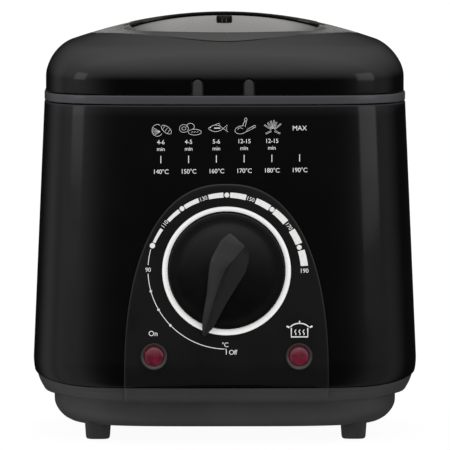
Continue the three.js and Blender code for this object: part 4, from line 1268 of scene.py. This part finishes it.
def window_pane():
    low, high = WINDOW.low.z, WINDOW.high.z
    rings = []
    for inset, z in ((0.4, low), (0.0, low + 0.4), (0.0, high - 0.4), (0.12, high - 0.12), (0.4, high)):
        rings.append(flat_ring(outline(WINDOW_RX - inset, WINDOW_RY - inset, 2.0, 160, WINDOW_Y), z))
    place(loft("window_pane", rings, CLEAR, sharp=60), "lid", "viewing_window", slot="clear_window")


def cover_seat():
    """The ledge under the filter cover, round the filter chamber."""
    middle, count = 34.0, 240
    hole = region(middle, lambda x, y: abs(x) < CHAMBER_X and CHAMBER_Y[0] < y < CHAMBER_Y[1], count)
    outer = region(middle, lambda x, y: in_plate(x, y, 0.4) and not in_window(x, y, 0.6), count)
    rows = ((1.0, LEDGE_FOOT), (1.0, LEDGE_DROP), (0.5, LEDGE_DROP), (0.0, LEDGE_DROP))
    rings = [on_lid(blend(hole, outer, share), drop) for share, drop in rows]
    wider = blend([(0.0, middle)] * count, hole, 1.03)
    rings += [flat_ring(points, LINER.high.z + 0.4) for points in (hole, wider)]
    place(loft("cover_seat", rings, SILVER, loop=True, sharp=35), "lid", slot="silver_plastic")


def cover_bearings():
    """Bearings from the middle of the window, over the filter cover from one arm's tip to the other's."""
    corner_x = COVER_RX * (1 - ((HINGE_Y - COVER_Y) / COVER_RY) ** COVER_POWER) ** (1 / COVER_POWER)
    tip_x = WINDOW_RX * math.sqrt(1 - (HORN_FRONT / WINDOW_RY) ** 2) + 3.4
    first = math.atan2(HORN_FRONT + 0.4, tip_x)
    corners = [math.atan2(HINGE_Y - WINDOW_Y, x) for x in (-corner_x, corner_x)]
    return sorted(spread(first, math.pi - first, 260) + corners)


def filter_cover():
    grow = -0.2
    # the section holds points as (share of the way across, offset, height over the lid)
    edge = [(0.0, 0.5 - COVER_EDGE), (0.0, -0.1), (0.08, 0.1), (0.25, 0.2), (0.6, 0.24)]
    section = [(0.0, offset, lift) for offset, lift in edge]
    section += [(t, 0.6 * (1 - 2 * t), 0.24) for t in spread(0.0, 1.0, 24)[1:-1]]
    section += [(1.0, -offset, lift) for offset, lift in reversed(edge)]
    section += [(1.0, -0.3, 0.25 - COVER_EDGE), (1.0, -1.2, -2.3), (0.5, 0.0, -2.3), (0.0, 1.2, -2.3)]
    section += [(0.0, 0.3, 0.25 - COVER_EDGE)]
    rings = []
    for angle in cover_bearings():
        start = super_radius(angle, PANE_A - grow, PANE_B - grow, 2.0)
        end = reach_of(angle, 0.0, WINDOW_Y, lambda x, y: in_window(x, y, 0.5) or in_cover(x, y, grow))
        ring = []
        for share, offset, lift in section:
            ring += on_lid([polar(mix(start, end, share) + offset, angle, 0.0, WINDOW_Y)], -lift)
        rings.append(ring)
    cover = loft("filter_cover_plate", rings, BLACK, sharp=50)
    cut_with(cover, vent_cutters("slot_cut", 1.2, 26.0, 185.0, 215.0, BLACK), 45)
    place(cover, "filter_cover", "filter_cover", slot="black_gloss")


def arm_ledge():
    """The ledge under the cover's arms, part of the lid."""
    near, far = 0.4, HORN + 0.4
    rings = []
    for angle in spread(math.radians(13), math.radians(167), 110):
        ring = []
        for wide, drop in ((near, LEDGE_FOOT), (near, LEDGE_DROP), (far, LEDGE_DROP), (far, LEDGE_FOOT)):
            reach = super_radius(angle, PANE_A + wide, PANE_B + wide, 2.0)
            ring += on_lid([polar(reach, angle, 0.0, WINDOW_Y)], drop)
        rings.append(ring)
    place(loft("arm_ledge", rings, SILVER, sharp=35), "lid", slot="silver_plastic")


def catch():
    box = Extent("filter_catch")
    low, high, middle = box.low, box.high, (box.middle.x, box.middle.z)
    front = rounded([(low.x, low.z), (high.x, low.z), (high.x, high.z), (low.x, high.z)], 0.9, 4)
    rings = []
    for depth, scale in ((0.0, 0.9), (0.12, 0.96), (0.4, 1.0), (high.y - low.y, 1.0)):
        rings.append([(x, low.y + depth, z) for x, z in blend([middle] * len(front), front, scale)])
    block = loft("filter_catch_block", rings, KNOB, sharp=50)
    place(block, "filter_cover", "filter_catch", slot="black_gloss")
    for name, side in SIDES:
        left, right = side * 1.1 - 0.28, side * 1.1 + 0.28
        plan = [(left, low.y - 0.05), (right, low.y - 0.05), (right, low.y + 0.5), (left, low.y + 0.5)]
        tooth = prism(f"catch_tooth_{name}", plan, middle[1] - 1.4, middle[1] + 1.3, SILVER)
        place(tooth, "filter_cover", slot="silver_plastic")


def liner():
    inset = LID_INSET + WALL + 3.2
    roof, foot = LINER.high.z, LINER.low.z
    wall = 1.2
    profile = [(0.0, foot), (0.0, 176.0), (2.0, 179.5), (11.0, roof - 0.6), (14.0, roof), (30.0, roof)]
    profile += [(30.0, roof - wall), (14.0, roof - wall), (11 + wall, roof - wall - 0.8)]
    profile += [(2.0 + wall, 178.6), (wall, 175.4), (wall, foot)]
    profile = [(inset + inwards, z) for inwards, z in profile]
    rings = [body_ring(i, z, 192) for i, z in rounded(profile, 0.8, 3)]
    place(loft("lid_liner_pan", rings, ALUMINIUM, loop=True, sharp=50), "lid", "lid_liner", slot="aluminium")
    # the roof's middle is closed with a plate that has the window's opening and the filter's slots
    plan = outline(HALF_WIDTH - inset - 29.5, HALF_DEPTH - inset - 29.5, count=160)
    plate = prism("lid_liner_roof", plan, roof - wall, roof, ALUMINIUM)
    pane = outline(WINDOW_RX - 2.7, WINDOW_RY - 2.7, 2.0, 120, WINDOW_Y)
    cutters = [prism("pane_cut", pane, 180, 192, ALUMINIUM)]
    cut_with(plate, cutters + vent_cutters("liner_cut", 1.4, 30.0, 180, 192, ALUMINIUM), 45)
    place(plate, "lid", slot="aluminium")


lid_shell()
top_panel()
window_well()
window_pane()
cover_seat()
filter_cover()
arm_ledge()
catch()
liner()


# ---- oil pot
def oil_pot():
    half_w = POT.half.x - POT_FLANGE
    half_d = POT.half.y - POT_FLANGE
    floor, top = POT.low.z, POT.high.z
    wall = 1.5
    profile = [(40.0, floor), (9.0, floor), (4.6, floor + 0.6), (2.4, floor + 2.4), (1.5, floor + 6)]
    profile += [(0.7, floor + 48), (0.0, top - 2.6), (-0.9, top - 1.2), (-6.2, top - 1.2), (-6.6, top - 0.6)]
    profile += [(-6.2, top), (-0.2, top), (1.0, top - 0.5), (wall, top - 2.2), (0.7 + wall, floor + 48)]
    profile += [(1.5 + wall, floor + 7), (3.2 + wall, floor + 3.6), (5.4 + wall, floor + 1.9)]
    profile += [(inset, floor + wall) for inset in (9.5, 20.0, 40.0)]
    rings = [flat_ring(outline(half_w - inset, half_d - inset), z) for inset, z in profile]
    place(loft("oil_pot_bowl", rings, NONSTICK, sharp=45), "base", "oil_pot", slot="nonstick")


# ---- basket
BASKET_W = BASKET.half.x - 0.6
BASKET_D = BASKET.half.y - 0.6
BASKET_FLOOR = BASKET.low.z + 0.6
BASKET_TOP = BASKET.high.z
WIRE_R = 0.42
PITCH = 4.4


def basket_inset(z):
    rise = z - BASKET.low.z
    if rise < 6:
        return 4 + 5 * (1 - math.sin(math.acos(1 - clamp(rise / 6))))
    return 4 * (BASKET_TOP - z) / (BASKET_TOP - BASKET.low.z - 6)


def wires(half_across, half_along, lift):
    """Wires that run down one side of the basket, over its floor and up the other."""
    levels = [BASKET_FLOOR + 6 * (1 - math.cos(a)) for a in spread(0.0, math.pi / 2, 7)[1:]]
    levels += spread(BASKET_FLOOR + 6, BASKET_TOP, 8)[1:]
    paths = []
    count = int((half_across - 6) / PITCH)
    for across in [i * PITCH for i in range(-count, count + 1)]:
        side = []
        for z in levels:
            share = across / (half_across - basket_inset(z))
            if abs(share) < 1:
                reach = (half_along - basket_inset(z)) * (1 - abs(share) ** POWER) ** (1 / POWER)
                side.append((reach, z))
        if side:
            path = [(reach, z + lift * 0.2) for reach, z in reversed(side)]
            path += [(reach, BASKET_FLOOR + lift) for reach in spread(side[0][0], -side[0][0], 12)[1:-1]]
            path += [(-reach, z) for reach, z in side]
            paths.append([(across, reach, z) for reach, z in path])
    return paths


def basket():
    paths = wires(BASKET_W, BASKET_D, 0.0)
    paths += [[(y, x, z) for x, y, z in path] for path in wires(BASKET_D, BASKET_W, WIRE_R * 1.6)]
    place(tubes("basket_wires", paths, WIRE_R, STEEL, 6), "basket", "basket_mesh", slot="steel")
    hoops = []
    level = BASKET_FLOOR + 4.0
    while level < BASKET_TOP - 2:
        inset = basket_inset(level) + WIRE_R * 1.6
        hoops.append(flat_ring(outline(BASKET_W - inset, BASKET_D - inset, count=144), level))
        level += PITCH
    place(tubes("basket_hoops", hoops, WIRE_R, STEEL, 6, closed=True), "basket", slot="steel")
    rim_path = flat_ring(outline(BASKET_W - 0.2, BASKET_D - 0.2), Extent("basket_rim").middle.z)
    rim = tubes("basket_rim_wire", [rim_path], 1.3, STEEL, 14, closed=True)
    place(rim, "basket", "basket_rim", slot="steel")
    for name in ("left", "right"):
        foot = Extent(f"basket_foot_{name}")
        x, radius = foot.middle.x, foot.half.x
        y0, y1 = foot.low.y + 0.2, foot.high.y - 0.2
        low, high = foot.low.z + radius, foot.high.z - radius
        path = [(y0, high), (y0 + 3, high), (y0 + 9, low), (y1 - 9, low), (y1 - 3, high), (y1, high)]
        path = eased([(x, y, z) for y, z in path], 3.0)
        runner = tubes(f"basket_runner_{name}", [path], radius - 0.05, STEEL, 14)
        place(runner, "basket", f"basket_foot_{name}", slot="steel")


# ---- plug-in handle
def handle():
    for name in ("upper", "lower"):
        grip = Extent(f"handle_grip_{name}")
        near, far = (grip.low.z, grip.high.z) if name == "upper" else (grip.high.z, grip.low.z)
        rings = []
        for angle in spread(0.0, math.pi / 2, 10):
            inset = 3.4 * (1 - math.cos(angle)) if angle else 0.1
            ring = []
            for x, y in outline(grip.half.x - inset, grip.half.y - inset, 3.4, 96):
                waist = 0.95 - 0.05 * math.cos(math.pi * y / grip.half.y)
                ring.append((x * waist, grip.middle.y + y, mix(near, far, math.sin(angle))))
            rings.append(ring)
        half_grip = loft(f"handle_half_{name}", rings, KNOB, sharp=50)
        place(half_grip, "handle", f"handle_grip_{name}", slot="black_gloss")
    for name, side in SIDES:
        wire = Extent(f"handle_wire_{name}")
        radius, z = wire.half.z, wire.middle.z
        x0 = wire.middle.x - side * (wire.half.x - radius)
        x1 = wire.middle.x + side * (wire.half.x - 0.4)
        y0, y1 = wire.low.y + 0.3, wire.high.y - radius
        path = eased([(x0, y0, z), (x0, y1, z), (x1, y1, z)], 3.0)
        rod = tubes(f"handle_rod_{name}", [path], radius - 0.08, STEEL, 14)
        place(rod, "handle", f"handle_wire_{name}", slot="steel")


# ---- cord grommet at the back
def grommet():
    box = Extent("cord_grommet")
    z, edge = box.middle.z, box.half.x - 0.05
    at = Matrix.Translation((0, HALF_DEPTH - taper_inset(z), z)) @ Matrix.Rotation(LEAN - math.pi / 2, 4, "X")
    profile = [(0.0, -1.6), (3.3, -1.6), (3.3, 3.5), (3.6, 3.85), (6.0, 3.85), (6.6, 3.4), (8.1, 2.2)]
    profile += [(edge, 1.8), (edge, 0.8), (edge - 0.35, 0.45), (5.6, 0.3), (5.6, -3.6), (0.0, -3.6)]
    place(turned("grommet_ring", profile, at, RUBBER, 72, 50), "base", "cord_grommet", slot="rubber")


oil_pot()
basket()
handle()
grommet()


# ---- studio
FLOOR_HALF = 12.0  # metres
LAMP_AWAY = 1.6


def floor_paper():
    paper = Surface("floor_paper", (0.06, 0.06, 0.06), 0.9)
    paper.set("Specular IOR Level", 0.1)
    paper.set("Emission Color", (1, 1, 1, 1))
    paper.set("Emission Strength", 0.95)
    return paper.material


def room(nodes):
    """What glossy surfaces see: dark in front, a soft glow overhead and one at each side."""
    calc, fade = nodes.calc, nodes.ramp
    direction = nodes.add("TexCoord").outputs["Generated"]
    x, y, z = nodes.add("SeparateXYZ", {0: direction}).outputs
    up = calc("POWER", calc("MAXIMUM", z), 1.15)
    behind = calc("SUBTRACT", 1.0, calc("MULTIPLY", calc("MAXIMUM", y), 0.72))
    overhead = calc("MULTIPLY", calc("ADD", calc("MULTIPLY", up, 1.3), 0.02), behind)
    level = calc("SQRT", calc("ADD", calc("MULTIPLY", x, x), calc("MULTIPLY", y, y)))
    ahead = calc("DIVIDE", calc("MULTIPLY", y, -1.0), calc("MAXIMUM", level, 0.01))
    beside = calc("MULTIPLY", fade(ahead, -0.98, -0.6, 0.0, 0.62), fade(x, -0.2, 0.0, 1.0, 0.0))
    sideways = calc("MAXIMUM", fade(ahead, -0.8, -0.1, 0.0, 1.0), beside)
    for source, *ends in ((ahead, 0.35, 0.95, 1.0, 0.0), (z, 0.1, 0.7, 1.0, 0.0), (x, -0.2, 0.2, 0.32, 0.2)):
        sideways = calc("MULTIPLY", sideways, fade(source, *ends))
    return calc("ADD", overhead, sideways)


def studio():
    r = FLOOR_HALF
    mesh = bpy.data.meshes.new("floor")
    mesh.from_pydata([(-r, -r, 0), (r, -r, 0), (r, r, 0), (-r, r, 0)], [], [(0, 1, 2, 3)])
    mesh.materials.append(floor_paper())
    floor = linked("floor", mesh)
    floor.visible_glossy = False

    world_data = bpy.data.worlds.new("studio")
    world_data.use_nodes = True
    nodes = Nodes(world_data.node_tree)
    white = (1, 1, 1, 1)
    bright = nodes.add("Background", {"Color": white, "Strength": 1.0}).outputs[0]
    reflected = nodes.add("Background", {"Color": white, "Strength": room(nodes)}).outputs[0]
    glossy = nodes.add("LightPath").outputs["Is Glossy Ray"]
    seen = nodes.add("MixShader", {0: glossy, 1: bright, 2: reflected}).outputs[0]
    nodes.feed(nodes.tree.nodes["World Output"].inputs["Surface"], seen)
    scene.world = world_data
    scene.view_settings.view_transform = "Standard"
    scene.view_settings.look = "None"


def area(name, degrees, height, size, power):
    """A lamp beside the object: 0 degrees is straight in front, positive to the right."""
    data = bpy.data.lights.new(name, "AREA")
    data.shape = "RECTANGLE"
    data.size, data.size_y = size
    data.energy = power
    light = linked(name, data)
    light.location = (*polar(LAMP_AWAY, math.radians(degrees - 90)), height)
    light.rotation_euler = (Vector((0, 0, height)) - light.location).to_track_quat("-Z", "Y").to_euler()
    light.visible_camera = False


studio()
area("strip_left", -78, 0.555, (0.6, 0.73), 0.95)
area("strip_right", 68, 0.54, (0.8, 0.78), 1.35)
